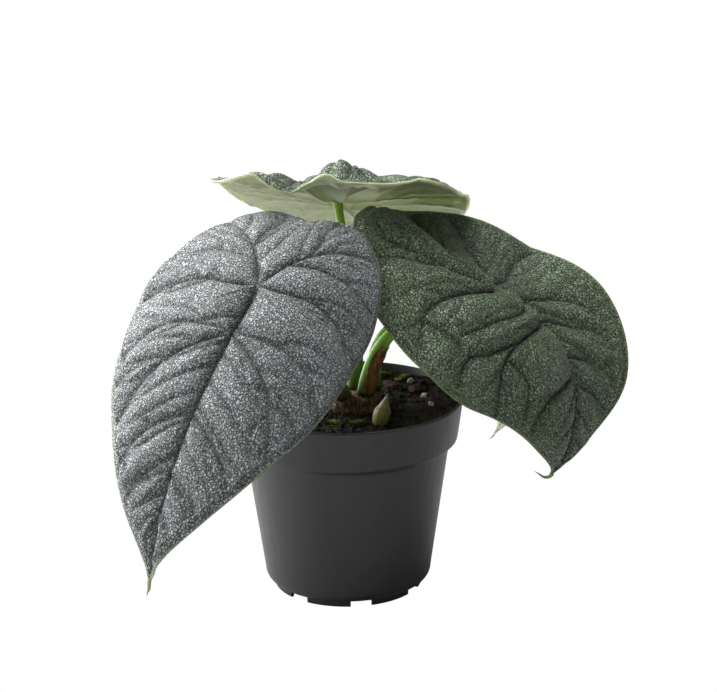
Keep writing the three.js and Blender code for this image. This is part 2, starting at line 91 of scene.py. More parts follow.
# Each blade's seat and bend (mm and degrees), its drawn-out tip (steps in mm), and how strong
# its cushions (quilt) and side veins (side) are.
LEAVES = {
    "front_left": dict(
        reach=RIM_RADIUS + 10.7, azimuth=234, rise=82, base=(-1.5, -6), lean=(-0.35, -0.2), climb=0.42,
        length=164, back=67, width=65.5, pitch=-27, droop=58.5, bow=1.4,
        heading=-114.4, sway=-16.6, roll=-2.3, twist=5, lift=26,
        fold=(6, 7.4), curl=(79, 37), wave=0.6, waves=9, phase=0,
        side=0.75, quilt=1.45, tip=[(-0.6, -0.4, -1.6), (-1, -0.8, -3.4)]),
    "right": dict(
        reach=RIM_RADIUS + 17.2, azimuth=7.5, rise=62.3, base=(9.5, -3.5), lean=(0.12, 0), climb=0.66,
        length=124.5, back=71.3, width=74.4, pitch=-32, droop=108.3, bow=1.5,
        heading=-18.2, sway=-23.6, roll=-6.2, twist=15.4, lift=5.8,
        fold=(-19.3, 1), curl=(-54, 76), wave=0.8, waves=9, phase=60,
        notch=-1.02, side=0.55,
        ruffle=[(140, 0), (160, -2.5), (170, -1.2), (177, 0), (184, 3), (192, 3), (205, 1.5),
                (222, 0)],
        quilt=1.5, tip=[(-2.6, -0.6, 0.2), (-5, -0.8, 2), (-7.4, -0.4, 3.4)]),
    "back": dict(
        reach=RIM_RADIUS - 1.8, azimuth=93.9, rise=97.3, base=(4, 5), lean=(0.1, 0.2), climb=0.42,
        length=123.3, back=57.5, width=66.8, pitch=-16, droop=45, bow=1,
        heading=75, sway=0, roll=-10.5, twist=0, lift=-9.5,
        fold=(14, -4.5), curl=(0, 0), wave=1.8, waves=7, phase=30,
        quilt=1.2, tip=[(0.6, 1.4, -1.2), (0.8, 2, -3)],
        # Rise of the margin at a few turns round the blade, in degrees and mm.
        ruffle=[(150, 0), (158, -1), (165, -7.6), (172, -7.8), (179, 1), (188, 5), (196, -1),
                (210, -3.6), (220, -1), (228, 2.6), (246, 0), (260, -3.5), (285, 0)],
        # Puffed cushions between the veins: place along and across, radius, height.
        puffs=[(-28, -7, 10, 14), (-26, -20, 9, 9), (-25, 26, 10, 6.5), (-22, 9, 8, 6),
               (-20, -37, 11, 6.5), (-18, -54, 11, 4)]),
    "small": dict(
        reach=RIM_RADIUS + 28.4, azimuth=30.6, rise=28.6, base=(13.5, 5.5), lean=(0, 0.15), climb=0.8,
        length=66, back=18, width=25, pitch=-70, droop=75, bow=3,
        heading=32, sway=0, roll=0, twist=0, lift=35,
        fold=(10, 10), curl=(30, 30), wave=0.6, waves=7, phase=0,
        quilt=0.7, tip=[(-0.8, -0.3, -0.5), (-1.8, -0.6, -0.9)]),
}

TYPICAL_WIDTH = 65

# Half a blade's outline as shares: along (of length, or back when negative) and of width.
HALF_OUTLINE = [
    (1, 0), (0.955, 0.035), (0.9, 0.125), (0.78, 0.36), (0.6, 0.66), (0.38, 0.9), (0.14, 1),
    (-0.3, 0.975), (-0.75, 0.76), (-1.04, 0.43), (-1.06, 0.2), (-0.94, 0),
]

# Main veins of one half, in the same shares. The number is the groove's strength.
MAIN_VEINS = [
    (1, [(0, 0), (0, 0.2), (-0.01, 0.45), (0.02, 0.7), (0.08, 0.93)]),
    (0.85, [(0.19, 0), (0.195, 0.2), (0.2, 0.45), (0.24, 0.68), (0.34, 0.87)]),
    (0.95, [(0.2, 0), (0.26, 0.2), (0.34, 0.42), (0.43, 0.56), (0.55, 0.66)]),
    (0.9, [(0.48, 0), (0.53, 0.2), (0.6, 0.38), (0.69, 0.47)]),
    (0.8, [(0.66, 0), (0.69, 0.14), (0.735, 0.27), (0.79, 0.31)]),
    (0.6, [(0.79, 0), (0.815, 0.08), (0.85, 0.15)]),
    (1, [(0, 0), (-0.2, 0.1), (-0.42, 0.24), (-0.64, 0.43), (-0.8, 0.62)]),
    (0.85, [(-0.26, 0.13), (-0.33, 0.35), (-0.36, 0.6), (-0.32, 0.88)]),
    (0.8, [(-0.42, 0.24), (-0.62, 0.24), (-0.82, 0.2), (-0.96, 0.22)]),
    (0.6, [(-0.01, 0.45), (-0.1, 0.6), (-0.13, 0.78), (-0.1, 0.93)]),
    (0.55, [(0.34, 0.42), (0.36, 0.58), (0.42, 0.74), (0.48, 0.8)]),
]

MIDRIB = [(0, 0), (0.5, 0), (0.985, 0)]
MIDRIB_STRENGTH = 1.35

# The right-hand leaf is lopsided: its midrib swings to the left and its two halves differ.
RIGHT_MIDRIB = [
    (0, 0), (0.08, 0.18), (0.18, 0.21), (0.3, 0.18), (0.42, 0.12), (0.54, 0.06), (0.7, 0), (0.98, 0)]
RIGHT_VEINS = [
    (1, [(0, 0), (0.01, -0.15), (-0.13, -0.38), (-0.22, -0.56), (-0.24, -0.7), (-0.16, -0.88)]),
    (0.8, [(0.13, 0.2), (0.17, -0.1), (0.1, -0.46), (0.04, -0.66)]),
    (1, [(0.24, 0.2), (0.26, -0.05), (0.26, -0.31), (0.28, -0.48), (0.36, -0.6), (0.56, -0.68)]),
    (0.9, [(0.26, -0.31), (0.21, -0.58), (0.14, -0.75), (0.22, -0.9)]),
    (0.9, [(0.5, 0.08), (0.53, -0.1), (0.56, -0.27), (0.64, -0.39), (0.72, -0.4)]),
    (0.7, [(0.3, -0.48), (0.44, -0.42), (0.55, -0.46), (0.64, -0.5)]),
    (0.7, [(-0.2, -0.74), (0.02, -0.72), (0.13, -0.76)]),
    (0.9, [(0.08, 0.18), (0.14, 0.36), (0.2, 0.56), (0.28, 0.7), (0.4, 0.75)]),
    (0.9, [(0.24, 0.2), (0.34, 0.47), (0.41, 0.63), (0.49, 0.66)]),
    (0.8, [(0.42, 0.12), (0.5, 0.38), (0.6, 0.52)]),
    (0.7, [(0.54, 0.06), (0.63, 0.3), (0.71, 0.37)]),
    (0.9, [(0, 0), (-0.01, 0.25), (0.01, 0.5), (-0.01, 0.75), (0.02, 0.95)]),
    (1.3, [(0, 0), (-0.2, -0.02), (-0.39, 0.02), (-0.6, 0.3), (-0.83, 0.56)]),
    (1.2, [(-0.04, -0.06), (-0.29, -0.2), (-0.48, -0.24), (-0.67, -0.31), (-0.82, -0.36)]),
    (0.8, [(-0.35, -0.22), (-0.45, -0.32), (-0.6, -0.4), (-0.75, -0.52)]),
    (1, [(-0.02, 0.1), (-0.17, 0.38), (-0.36, 0.58), (-0.62, 0.78)]),
]

LEAVES["right"].update(midrib=RIGHT_MIDRIB, veins=RIGHT_VEINS)

# Relief of the upper face, in mm on a blade of the typical width.
VEIN_DEPTH = 1.5
VALLEY_DEPTH = 2.7
SIDE_VEIN_DEPTH = 1.0
SIDE_VALLEY_DEPTH = 1.35
CUSHION_HEIGHT = 2.0
BAND_HEIGHT = 0.6
BAND_INSET = 4.4
UNDER_FACE_RELIEF = 0.7
SIDE_VEIN_GAP = (6.5, 10.5)
VEIN_STEP = 0.6
LONGEST_SIDE_VEIN = 90
SHORTEST_SIDE_VEIN = 9

# ---- small helpers


def link(thing):
    bpy.context.scene.collection.objects.link(thing)


def unit(v):
    """Vectors brought to length 1."""
    return v / np.maximum(np.linalg.norm(v, axis=-1, keepdims=True), 1e-12)


def run_of(line):
    """The length of a line up to each of its points."""
    return np.r_[0, np.cumsum(np.linalg.norm(np.diff(line, axis=0), axis=1))]


def catmull(points, per_span):
    """A smooth curve through points, each end point doubled."""
    p = np.array([points[0], *points, points[-1]], float)
    out = []
    for i in range(len(points) - 1):
        p0, p1, p2, p3 = p[i:i + 4]
        v0, v1 = (p2 - p0) * 0.5, (p3 - p1) * 0.5
        t = np.linspace(0, 1, per_span, endpoint=False)[:, None]
        cubic, square = 2 * (p1 - p2) + v0 + v1, -3 * (p1 - p2) - 2 * v0 - v1
        out.append(cubic * t**3 + square * t**2 + v0 * t + p1)
    return np.vstack([*out, p[-2:-1]])


def make_piece(name, points, faces, materials, nodes, slot, indices=None, smooth=True,
               attributes=None):
    """A mesh object from points in millimetres, riding on the root body in place of CAD nodes."""
    mesh = bpy.data.meshes.new(name)
    mesh.from_pydata((np.asarray(points) * MM).tolist(), [], [list(map(int, f)) for f in faces])
    for key, (kind, values) in (attributes or {}).items():
        layer = mesh.attributes.new(key, kind, "POINT")
        field = "vector" if kind == "FLOAT_VECTOR" else "value"
        layer.data.foreach_set(field, np.asarray(values, np.float32).ravel())
    for material in materials:
        mesh.materials.append(material)
    if indices is not None:
        mesh.polygons.foreach_set("material_index", np.asarray(indices, np.int32))
    mesh.polygons.foreach_set("use_smooth", [smooth] * len(mesh.polygons))
    mesh.update()
    piece = bpy.data.objects.new(name, mesh)
    link(piece)
    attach(piece, "root")
    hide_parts(*nodes)
    return piece


def grid_faces(rows, columns, closed, flip=False, start=0):
    """Quads between rows of points, each row of the same length."""
    across = np.arange(columns if closed else columns - 1)
    r, c = np.meshgrid(np.arange(rows - 1), across, indexing="ij")
    a = start + r * columns + c
    b = start + r * columns + (c + 1) % columns
    quads = np.stack([a, b, b + columns, a + columns], -1).reshape(-1, 4)
    return quads[:, ::-1] if flip else quads


def tube_faces(rows, sides):
    """Faces of a tube of point rings, closed at both ends."""
    ends = [list(range(sides))[::-1], [(rows - 1) * sides + i for i in range(sides)]]
    return grid_faces(rows, sides, True).tolist() + ends


def rings_of(radius, z, turn, x=0):
    """Rings of points round upright axes, one row for each height."""
    return np.stack([
        x + radius * np.cos(turn), radius * np.sin(turn),
        np.repeat(z[:, None], len(turn), 1)], -1).reshape(-1, 3)


def turns(sides):
    """Evenly spaced angles round a full circle."""
    return 2 * np.pi * np.arange(sides) / sides


def point_normals(points, quads):
    """Unit normals of a grid's points."""
    q = points[quads]
    normal = np.cross(q[:, 2] - q[:, 0], q[:, 3] - q[:, 1])
    total = np.zeros_like(points)
    for k in range(quads.shape[1]):
        np.add.at(total, quads[:, k], normal)
    return unit(total)


def fbm(points, scale, octaves=3, seed=0.0):
    """Smooth noise at points (in millimetres), about -1 to 1."""
    shift = Vector((seed * 13.7, seed * 7.1, seed * 3.3))
    return np.array([
        noise.fractal(Vector(p) * scale + shift, 0.8, 2.0, octaves) for p in points.tolist()])


# ---- materials


class Nodes:
    """Shorthand for building one node material."""

    def __init__(self, name):
        self.material = bpy.data.materials.new(name)
        self.material.use_nodes = True
        self.tree = self.material.node_tree
        self.shader = self.tree.nodes["Principled BSDF"]

    def add(self, kind, inputs=None, **settings):
        node = self.tree.nodes.new(kind)
        for key, value in settings.items():
            setattr(node, key, value)
        for key, value in (inputs or {}).items():
            self.set(node.inputs[key], value)
        return node

    def set(self, socket, value):
        if isinstance(value, bpy.types.NodeSocket):
            self.tree.links.new(value, socket)
        elif isinstance(value, (tuple, list)) and len(value) == 3 and socket.type == "RGBA":
            socket.default_value = (*value, 1)
        else:
            socket.default_value = value

    def put(self, **values):
        for key, value in values.items():
            self.set(self.shader.inputs[key.replace("_", " ")], value)

    def attribute(self, name):
        return self.add("ShaderNodeAttribute", attribute_name=name)

    def place(self):
        return self.add("ShaderNodeTexCoord").outputs["Object"]

    def scaled(self, vector, scale):
        return self.add("ShaderNodeVectorMath", {0: vector, 1: scale}, operation="MULTIPLY").outputs[0]

    def noise(self, vector, scale, detail=4, rough=0.55, distort=0.0):
        return self.add("ShaderNodeTexNoise", {
            "Vector": vector, "Scale": scale, "Detail": detail, "Roughness": rough,
            "Distortion": distort}).outputs["Fac"]

    def cells(self, vector, scale, feature="F1"):
        node = self.add("ShaderNodeTexVoronoi", {"Vector": vector, "Scale": scale}, feature=feature)
        return node.outputs["Distance"]

    def ramp(self, fac, stops):
        node = self.add("ShaderNodeValToRGB", {"Fac": fac})
        points = node.color_ramp.elements
        for i, (at, color) in enumerate(stops):
            element = points[i] if i < 2 else points.new(at)
            element.position = at
            element.color = (*color, 1)
        return node.outputs["Color"]

    def math(self, op, a, b):
        return self.add("ShaderNodeMath", {0: a, 1: b}, operation=op).outputs[0]

    def range(self, value, low, high, to_low=0.0, to_high=1.0):
        return self.add("ShaderNodeMapRange", {
            "Value": value, "From Min": low, "From Max": high,
            "To Min": to_low, "To Max": to_high}).outputs["Result"]

    def mix(self, fac, a, b):
        node = self.add("ShaderNodeMix", data_type="RGBA")
        self.set(node.inputs[0], fac)
        self.set(node.inputs[6], a)
        self.set(node.inputs[7], b)
        return node.outputs[2]

    def bump(self, height, strength, distance):
        return self.add("ShaderNodeBump", {
            "Height": height, "Strength": strength, "Distance": distance}).outputs["Normal"]

    def masks(self, *names):
        return [self.attribute(name).outputs["Fac"] for name in names]


GRAIN_SCALE = 0.9
GRAIN_STRETCH = (0.72, 1.0, 1.0)
GRAIN_WARP = (3.2, 3.2, 0.0)
GRAIN_RELIEF = 0.0012


def leaf_upper(name, silver, green, crevice_shade, margin, sheen):
    """Pebbled, quilted upper face: silver grains over green, with painted shade in the gaps between
    grains, in the vein grooves and in the side-vein valleys.
    """
    m = Nodes(name)
    flat = m.attribute("flat").outputs["Vector"]
    groove, net, edge = m.masks("groove", "net", "edge")
    warp = m.add("ShaderNodeTexNoise", {"Vector": flat, "Scale": 0.3, "Detail": 3}).outputs["Color"]
    warped = m.add("ShaderNodeVectorMath", {0: warp, 1: GRAIN_WARP, 2: flat},
                   operation="MULTIPLY_ADD").outputs[0]
    place = m.scaled(warped, GRAIN_STRETCH)
    gap = m.cells(place, GRAIN_SCALE, "DISTANCE_TO_EDGE")
    grain = m.add("ShaderNodeTexVoronoi", {"Vector": place, "Scale": GRAIN_SCALE})
    tone = m.add("ShaderNodeSeparateColor", {0: grain.outputs["Color"]}).outputs[0]
    broad = m.noise(flat, 0.035, 3)
    dull = tuple(c * 0.7 for c in green)
    top = m.mix(m.range(broad, 0.35, 0.65), silver, green)
    top = m.mix(m.range(tone, 0.6, 0.0, 0.0, 0.6), top, dull)
    crest = m.range(gap, 0.03, 0.22)
    # Painted shade: the gaps between grains are darkened towards the crevice shade colour.
    color = m.mix(m.range(gap, 0.17, 0.03), top, crevice_shade)
    # Painted shade: the vein grooves (groove mask) and the side-vein valleys (net mask) are darkened
    # towards the crevice shade colour.
    color = m.mix(m.math("MULTIPLY", groove, 0.9), color, crevice_shade)
    color = m.mix(m.math("MULTIPLY", net, 0.2), color, crevice_shade)
    color = m.mix(edge, color, margin)
    dome = m.math("ADD", crest, m.math("MULTIPLY", tone, 0.3))
    m.put(Base_Color=color, Normal=m.bump(dome, 1.0, GRAIN_RELIEF))
    m.put(Roughness=m.range(tone, 0.0, 1.0, 0.5, 0.36))
    m.put(Sheen_Weight=sheen, Sheen_Roughness=0.45, Specular_IOR_Level=0.5)
    return m.material


def leaf_under(name, pale, vein, blotch):
    """Smooth pale under face with a darker net of veins and a green web behind the stalk."""
    m = Nodes(name)
    flat = m.attribute("flat").outputs["Vector"]
    groove, net, web = m.masks("groove", "net", "web")
    mottle = m.noise(flat, 0.07, 4)
    color = m.mix(m.range(mottle, 0.35, 0.7), pale, blotch)
    color = m.mix(m.math("MULTIPLY", net, 0.35), color, vein)
    color = m.mix(m.math("MULTIPLY", groove, 0.6), color, vein)
    color = m.mix(m.math("MULTIPLY", web, 0.75), color, vein)
    grain = m.cells(flat, 1.1, "SMOOTH_F1")
    m.put(Base_Color=color, Normal=m.bump(grain, 0.2, 0.0003))
    m.put(Roughness=m.range(mottle, 0.3, 0.7, 0.48, 0.6))
    m.put(Subsurface_Weight=0.75, Subsurface_Radius=(0.006, 0.0065, 0.005), Subsurface_Scale=1.0)
    return m.material


def stalk_material():
    """Fleshy stalk, dark at the foot and yellow-green higher up, with fine upright streaks."""
    m = Nodes("stalk_green")
    place = m.place()
    height = m.add("ShaderNodeSeparateXYZ", {0: place}).outputs["Z"]
    low = STEM_TOP_Z * MM
    full_green = low + 0.09
    streak = m.noise(m.scaled(place, (900, 900, 60)), 1.0, 3)
    color = m.ramp(m.range(height, low, full_green), [
        (0.0, (0.02, 0.045, 0.008)), (0.2, (0.17, 0.40, 0.03)), (1.0, (0.24, 0.42, 0.045))])
    color = m.mix(m.range(streak, 0.35, 0.7, 0.0, 0.45), color, (0.07, 0.13, 0.012))
    m.put(Base_Color=color, Roughness=m.range(streak, 0.3, 0.7, 0.36, 0.5))
    m.put(Normal=m.bump(streak, 0.3, 0.0003), Subsurface_Weight=0.15,
          Subsurface_Radius=(0.003, 0.005, 0.001), Subsurface_Scale=0.5)
    return m.material


def fibrous(name, dark, mid, light, scale):
    """Dry stem skin and papery sheath: streaks along Z, flakes and fibres."""
    m = Nodes(name)
    place = m.place()
    streak = m.noise(m.scaled(place, (scale, scale, scale * 0.12)), 1.0, 6, 0.65, 0.6)
    flake = m.cells(m.scaled(place, (220, 220, 420)), 1.0)
    tone = m.noise(place, 70, 4)
    color = m.ramp(streak, [(0.3, dark), (0.52, mid), (0.72, light)])
    color = m.mix(m.range(tone, 0.35, 0.7, 0.0, 0.7), color, dark)
    height = m.math("ADD", streak, m.math("MULTIPLY", flake, 0.4))
    m.put(Base_Color=color, Roughness=m.range(streak, 0.3, 0.7, 0.65, 0.95))
    m.put(Normal=m.bump(height, 0.8, 0.0012), Specular_IOR_Level=0.3)
    return m.material


def crumbly(name, dark, mid, light, scale, relief=0.0015):
    """Soil, bark, perlite and moss: rough lumps in several tones."""
    m = Nodes(name)
    place = m.place()
    lumps = m.noise(place, scale, 8, 0.7)
    spots = m.cells(place, scale * 1.6)
    color = m.ramp(lumps, [(0.32, dark), (0.56, mid), (0.76, light)])
    color = m.mix(m.range(spots, 0.1, 0.6, 0.35, 0.0), color, dark)
    m.put(Base_Color=color, Roughness=m.range(lumps, 0.3, 0.7, 0.8, 1.0))
    m.put(Normal=m.bump(lumps, 0.9, relief), Specular_IOR_Level=0.2)
    return m.material


def pot_material():
    """Satin grey polypropylene with fine moulding grain and faint upright drag marks."""
    m = Nodes("pot_plastic")
    place = m.place()
    cloud = m.noise(place, 28, 4)
    grain = m.noise(place, 1500, 3)
    drag = m.noise(m.scaled(place, (520, 520, 9)), 1.0, 3)
    dust = m.noise(place, 190, 6, 0.7)
    color = m.mix(m.range(cloud, 0.3, 0.7), (0.0065, 0.0075, 0.0085), (0.0095, 0.011, 0.0125))
    color = m.mix(m.range(dust, 0.62, 0.8, 0.0, 0.35), color, (0.06, 0.062, 0.06))
    rough = m.math("ADD", m.range(drag, 0.3, 0.7, 0.36, 0.46), m.math("MULTIPLY", cloud, 0.06))
    height = m.math("ADD", m.math("MULTIPLY", grain, 0.5), m.math("MULTIPLY", drag, 0.6))
    m.put(Base_Color=color, Roughness=rough, Normal=m.bump(height, 0.22, 0.00025))
    m.put(Specular_IOR_Level=0.62)
    return m.material


def corm_material():
    """Pale yellow-green bulb with a red-brown scar ring and a browner hood."""
    m = Nodes("corm_scale")
    place = m.place()
    rise, = m.masks("rise")
    wobble = m.noise(place, 260, 3)
    streak = m.noise(m.scaled(place, (1500, 1500, 180)), 1.0, 3)
    level = m.math("ADD", rise, m.math("MULTIPLY", m.math("SUBTRACT", wobble, 0.5), 0.12))
    color = m.ramp(level, [
        (0.0, (0.06, 0.075, 0.018)), (0.22, (0.16, 0.185, 0.04)), (0.5, (0.19, 0.20, 0.05)),
        (0.57, (0.13, 0.06, 0.02)), (0.62, (0.19, 0.17, 0.07)), (0.86, (0.15, 0.14, 0.07)),
        (1.0, (0.06, 0.035, 0.015))])
    color = m.mix(m.range(streak, 0.4, 0.7, 0.0, 0.3), color, (0.32, 0.33, 0.13))
    m.put(Base_Color=color, Roughness=m.range(streak, 0.3, 0.7, 0.34, 0.5))
    m.put(Normal=m.bump(streak, 0.25, 0.0003), Subsurface_Weight=0.15,
          Subsurface_Radius=(0.004, 0.004, 0.002), Subsurface_Scale=0.5)
    return m.material


# The front-left leaf's upper face is a lighter, silverier copy: partly the leaf's own silver colour,
# partly painted sheen for the light that falls on that leaf.
SILVER_AND_PAINTED_SHEEN_LEAF = leaf_upper(
    "leaf_upper_silver_painted_sheen", (0.385, 0.413, 0.435), (0.31, 0.347, 0.343), (0.024, 0.030, 0.028),
    (0.26, 0.31, 0.16), 0.15)
GREEN_LEAF = leaf_upper(
    "leaf_upper_green", (0.26, 0.355, 0.225), (0.165, 0.265, 0.11), (0.010, 0.020, 0.006),
    (0.22, 0.29, 0.08), 0.1)
UNDER_LEAF = leaf_under(
    "leaf_under_pale", (0.31, 0.31, 0.235), (0.14, 0.16, 0.09), (0.27, 0.28, 0.18))
STALK = stalk_material()
STEM = fibrous(
    "stem_fibre", (0.020, 0.011, 0.005), (0.17, 0.105, 0.052), (0.55, 0.40, 0.25), 900)
SHEATH = fibrous(
    "papery_sheath", (0.04, 0.016, 0.007), (0.21, 0.095, 0.030), (0.52, 0.26, 0.09), 700)
SOIL = crumbly(
    "peat_soil", (0.0025, 0.0018, 0.001), (0.010, 0.0068, 0.0036), (0.085, 0.050, 0.024), 420)
BARK = crumbly("bark", (0.012, 0.006, 0.004), (0.055, 0.024, 0.014), (0.15, 0.08, 0.05), 500)
PERLITE = crumbly(
    "perlite", (0.18, 0.16, 0.13), (0.42, 0.39, 0.34), (0.62, 0.60, 0.54), 900, 0.0006)
MOSS = crumbly("moss", (0.020, 0.025, 0.006), (0.13, 0.15, 0.03), (0.38, 0.40, 0.11), 700)
POT = pot_material()
CORM = corm_material()

# ---- leaf blades


def outline(leaf, count):
    """Evenly spaced points round the flat blade, from its tip by way of the left side."""
    half = catmull([*HALF_OUTLINE[:-1], (leaf.get("notch", HALF_OUTLINE[-1][0]), 0)], 12)
    a = half[:, 0] * np.where(half[:, 0] > 0, leaf["length"], leaf["back"])
    half = np.stack([a, half[:, 1] * leaf["width"]], -1)
    other = half[1:-1][::-1] * (1, -1)
    loop = np.vstack([half, other, half[:1]])
    run = run_of(loop)
    at = np.linspace(0, run[-1], count, endpoint=False)
    return np.stack([np.interp(at, run, loop[:, 0]), np.interp(at, run, loop[:, 1])], -1)


def midrib_frame(leaf, a):
    """Directions along, to the left of and up from the midrib at places along it."""
    u = np.where(a > 0, a / leaf["length"], a / leaf["back"])
    ahead = np.maximum(u, 0)
    drop = leaf["droop"] * ahead ** leaf["bow"] + leaf["lift"] * np.minimum(u, 0)
    pitch = np.radians(leaf["pitch"] - drop)
    heading = np.radians(leaf["heading"] + leaf["sway"] * ahead)
    roll = np.radians(leaf["roll"] + leaf["twist"] * ahead)[..., None]
    tangent = np.stack([
        np.cos(pitch) * np.cos(heading), np.cos(pitch) * np.sin(heading), np.sin(pitch)], -1)
    level = np.stack([-np.sin(heading), np.cos(heading), 0 * heading], -1)
    side = level * np.cos(roll) + np.cross(tangent, level) * np.sin(roll)
    return tangent, side, np.cross(tangent, side)


def junction(leaf):
    """Where a blade sits on its stalk."""
    turn, reach = math.radians(leaf["azimuth"]), leaf["reach"]
    return np.array([reach * math.cos(turn), reach * math.sin(turn), SOIL_Z + leaf["rise"]])


def midrib_points(leaf, a):
    """Points of the midrib at places along it, summed up from its bends in short steps."""
    steps = 40
    places, points = [], []
    for total in (leaf["length"], -1.1 * leaf["back"]):
        edges = np.linspace(0, total, steps + 1)
        tangent = midrib_frame(leaf, (edges[1:] + edges[:-1]) / 2)[0]
        line = junction(leaf) + np.vstack([np.zeros(3), np.cumsum(tangent * total / steps, axis=0)])
        places.append(edges)
        points.append(line)
    at = np.r_[places[1][:0:-1], places[0]]
    line = np.vstack([points[1][:0:-1], points[0]])
    return np.stack([np.interp(a, at, line[:, k]) for k in range(3)], -1)


def blade_points(leaf, a, b, share, turn):
    """Points of the upper face, before its relief."""
    _, side, up = midrib_frame(leaf, a)
    left = b > 0
    away = np.abs(b)
    ahead = np.maximum(0, a / leaf["length"])
    fold = np.radians(np.where(left, *leaf["fold"])) * (1 - 0.4 * ahead)
    curl = np.radians(np.where(left, *leaf["curl"]))
    bend = np.where(np.abs(curl) < 1e-4, 1e-6, curl / leaf["width"])
    end = fold - bend * away
    across = (np.sin(fold) - np.sin(end)) / bend
    high = (np.cos(end) - np.cos(fold)) / bend
    ripple = leaf["wave"] * share**3 * np.sin(leaf["waves"] * turn + math.radians(leaf["phase"]))
    if "ruffle" in leaf:
        rise = catmull(leaf["ruffle"], 6)
        ripple = ripple + share**4 * np.interp(np.degrees(turn), rise[:, 0], rise[:, 1])
    return (midrib_points(leaf, a) + side * (np.where(left, across, -across))[:, None]
            + up * (high + ripple)[:, None])


def vein_lines(leaf, seed):
    """The midrib and the main veins in the flat blade, each with its strength."""
    rng = random.Random(seed)
    drawn = [(MIDRIB_STRENGTH, catmull(leaf.get("midrib", MIDRIB), 90), 1)]
    if "veins" in leaf:
        drawn += [(strength, catmull(shares, 36), 1) for strength, shares in leaf["veins"]]
    else:
        for side in (1, -1):
            for strength, shares in MAIN_VEINS:
                line = catmull(shares, 36)
                bow = np.sin(np.linspace(0, math.pi, len(line)))
                line[:, 0] += (rng.random() - 0.5) * 0.035 * bow
                line[:, 1] *= 1 + (rng.random() - 0.5) * 0.08
                drawn.append((strength, line, side))
    lines = []
    for strength, line, side in drawn:
        line[:, 0] *= np.where(line[:, 0] > 0, leaf["length"], leaf["back"])
        line[:, 1] *= leaf["width"] * side
        lines.append((strength, line))
    return lines


def tree_of(spots):
    """A search tree of flat points."""
    tree = KDTree(len(spots))
    for i, spot in enumerate(spots.tolist()):
        tree.insert((*spot, 0), i)
    tree.balance()
    return tree


def side_veins(leaf, mains, loop, seed):
    """Side veins that grow from the main ones, bend to the margin and stop at the next vein."""
    rng = random.Random(seed)
    size = leaf["width"] / TYPICAL_WIDTH
    margin = tree_of(loop)
    lines = [line for _, line in mains]
    grown, strengths = [], []
    taken = tree_of(np.vstack(lines))
    for strength, line in mains:
        run = run_of(line)
        at = 10 * size
        turn = 1
        while at < run[-1] - 5 * size:
            at += rng.uniform(*SIDE_VEIN_GAP) * size
            turn = -turn
            k = min(int(np.searchsorted(run, at)), len(line) - 2)
            along = unit(line[k + 1] - line[k])
            angle = math.radians(rng.uniform(50, 68)) * turn
            way = np.array([along[0] * math.cos(angle) - along[1] * math.sin(angle),
                            along[0] * math.sin(angle) + along[1] * math.cos(angle)])
            spot = line[k].copy()
            path = []
            bend = rng.uniform(0.03, 0.06)
            for step in range(LONGEST_SIDE_VEIN):
                spot = spot + way * VEIN_STEP * size
                outer, _, gap = margin.find((*spot, 0))
                out = unit(np.array(outer[:2]) - spot)
                way = unit(way + bend * (out + 0.35 * along))
                if gap < 5.5 * size or (step > 7 and taken.find((*spot, 0))[2] < 1.0 * size):
                    break
                path.append(spot)
            steps = len(path)
            if steps > SHORTEST_SIDE_VEIN:
                grown.append(np.array(path))
                fade = np.interp(np.arange(steps), [0, 6, steps * 0.6, steps], [0.55, 1, 0.85, 0.3])
                strengths.append(fade * rng.uniform(0.6, 1.0) * strength * leaf.get("side", 1))
                taken = tree_of(np.vstack([*lines, *grown]))
    return np.vstack(grown), np.concatenate(strengths)


def relief(leaf, flat, seed, loop):
    """Height of the upper face, groove, side vein and edge masks, and the blade's thickness."""
    mains = vein_lines(leaf, seed)
    size = leaf["width"] / TYPICAL_WIDTH
    strengths = np.concatenate([strength * np.linspace(1, 0.6, len(line)) for strength, line in mains])
    veins = tree_of(np.vstack([line for _, line in mains]))
    side_spots, side_strengths = side_veins(leaf, mains, loop, seed)
    sides = tree_of(side_spots)
    step = np.roll(loop, -1, 0) - loop
    margin = tree_of(np.vstack([loop + step * s for s in (0, 0.25, 0.5, 0.75)]))
    rows = []
    for a, b in flat.tolist():
        _, i, d = veins.find((a, b, 0))
        _, j, e = sides.find((a, b, 0))
        rows.append((d, strengths[i], e, side_strengths[j], margin.find((a, b, 0))[2]))
    near, strong, beside, weak, rim = np.array(rows).T
    near, beside, rim = near / size, beside / size, rim / size
    narrow = np.exp(-near / (0.75 + 0.35 * strong)) * strong
    valley = np.exp(-near / 5.5) * strong
    side = np.exp(-beside / 0.75) * weak
    side_valley = np.exp(-beside / 2.6) * weak
    band = np.exp(-(((rim - BAND_INSET) / 0.75) ** 2))
    inner = np.clip((rim - 1.5) / 4.5, 0, 1)
    sunk = VEIN_DEPTH * narrow + VALLEY_DEPTH * valley
    sunk += (SIDE_VEIN_DEPTH * side + SIDE_VALLEY_DEPTH * side_valley) * np.clip(near / 2, 0.2, 1)
    height = BAND_HEIGHT * band + CUSHION_HEIGHT * inner - sunk * inner**0.6
    height *= size * leaf["quilt"]
    for along, across, radius, rise in leaf.get("puffs", []):
        away = (flat[:, 0] - along)**2 + (flat[:, 1] - across)**2
        height += rise * np.exp(-away / radius**2)
    # This mask and the side-vein valley, returned as net, set where the upper face gets painted shade
    # in its grooves; the under face uses both for its darker vein colour.
    groove = np.clip(narrow * 0.9 + 0.35 * valley**2 + 0.75 * side, 0, 1)
    edge = np.clip((1.0 - rim) / 0.35, 0, 1)
    body = 1.25 + 1.2 * np.exp(-((near / 3) ** 2)) * strong
    body = body * size * np.clip(rim / 1.5, 0.3, 1)
    return height, groove, np.clip(side_valley, 0, 1), edge, body


def collar(away):
    """Share of the relief left near the stalk's end, so that the blade stays whole there."""
    return np.clip((away - 1.0) / 7.0, 0.25, 1)


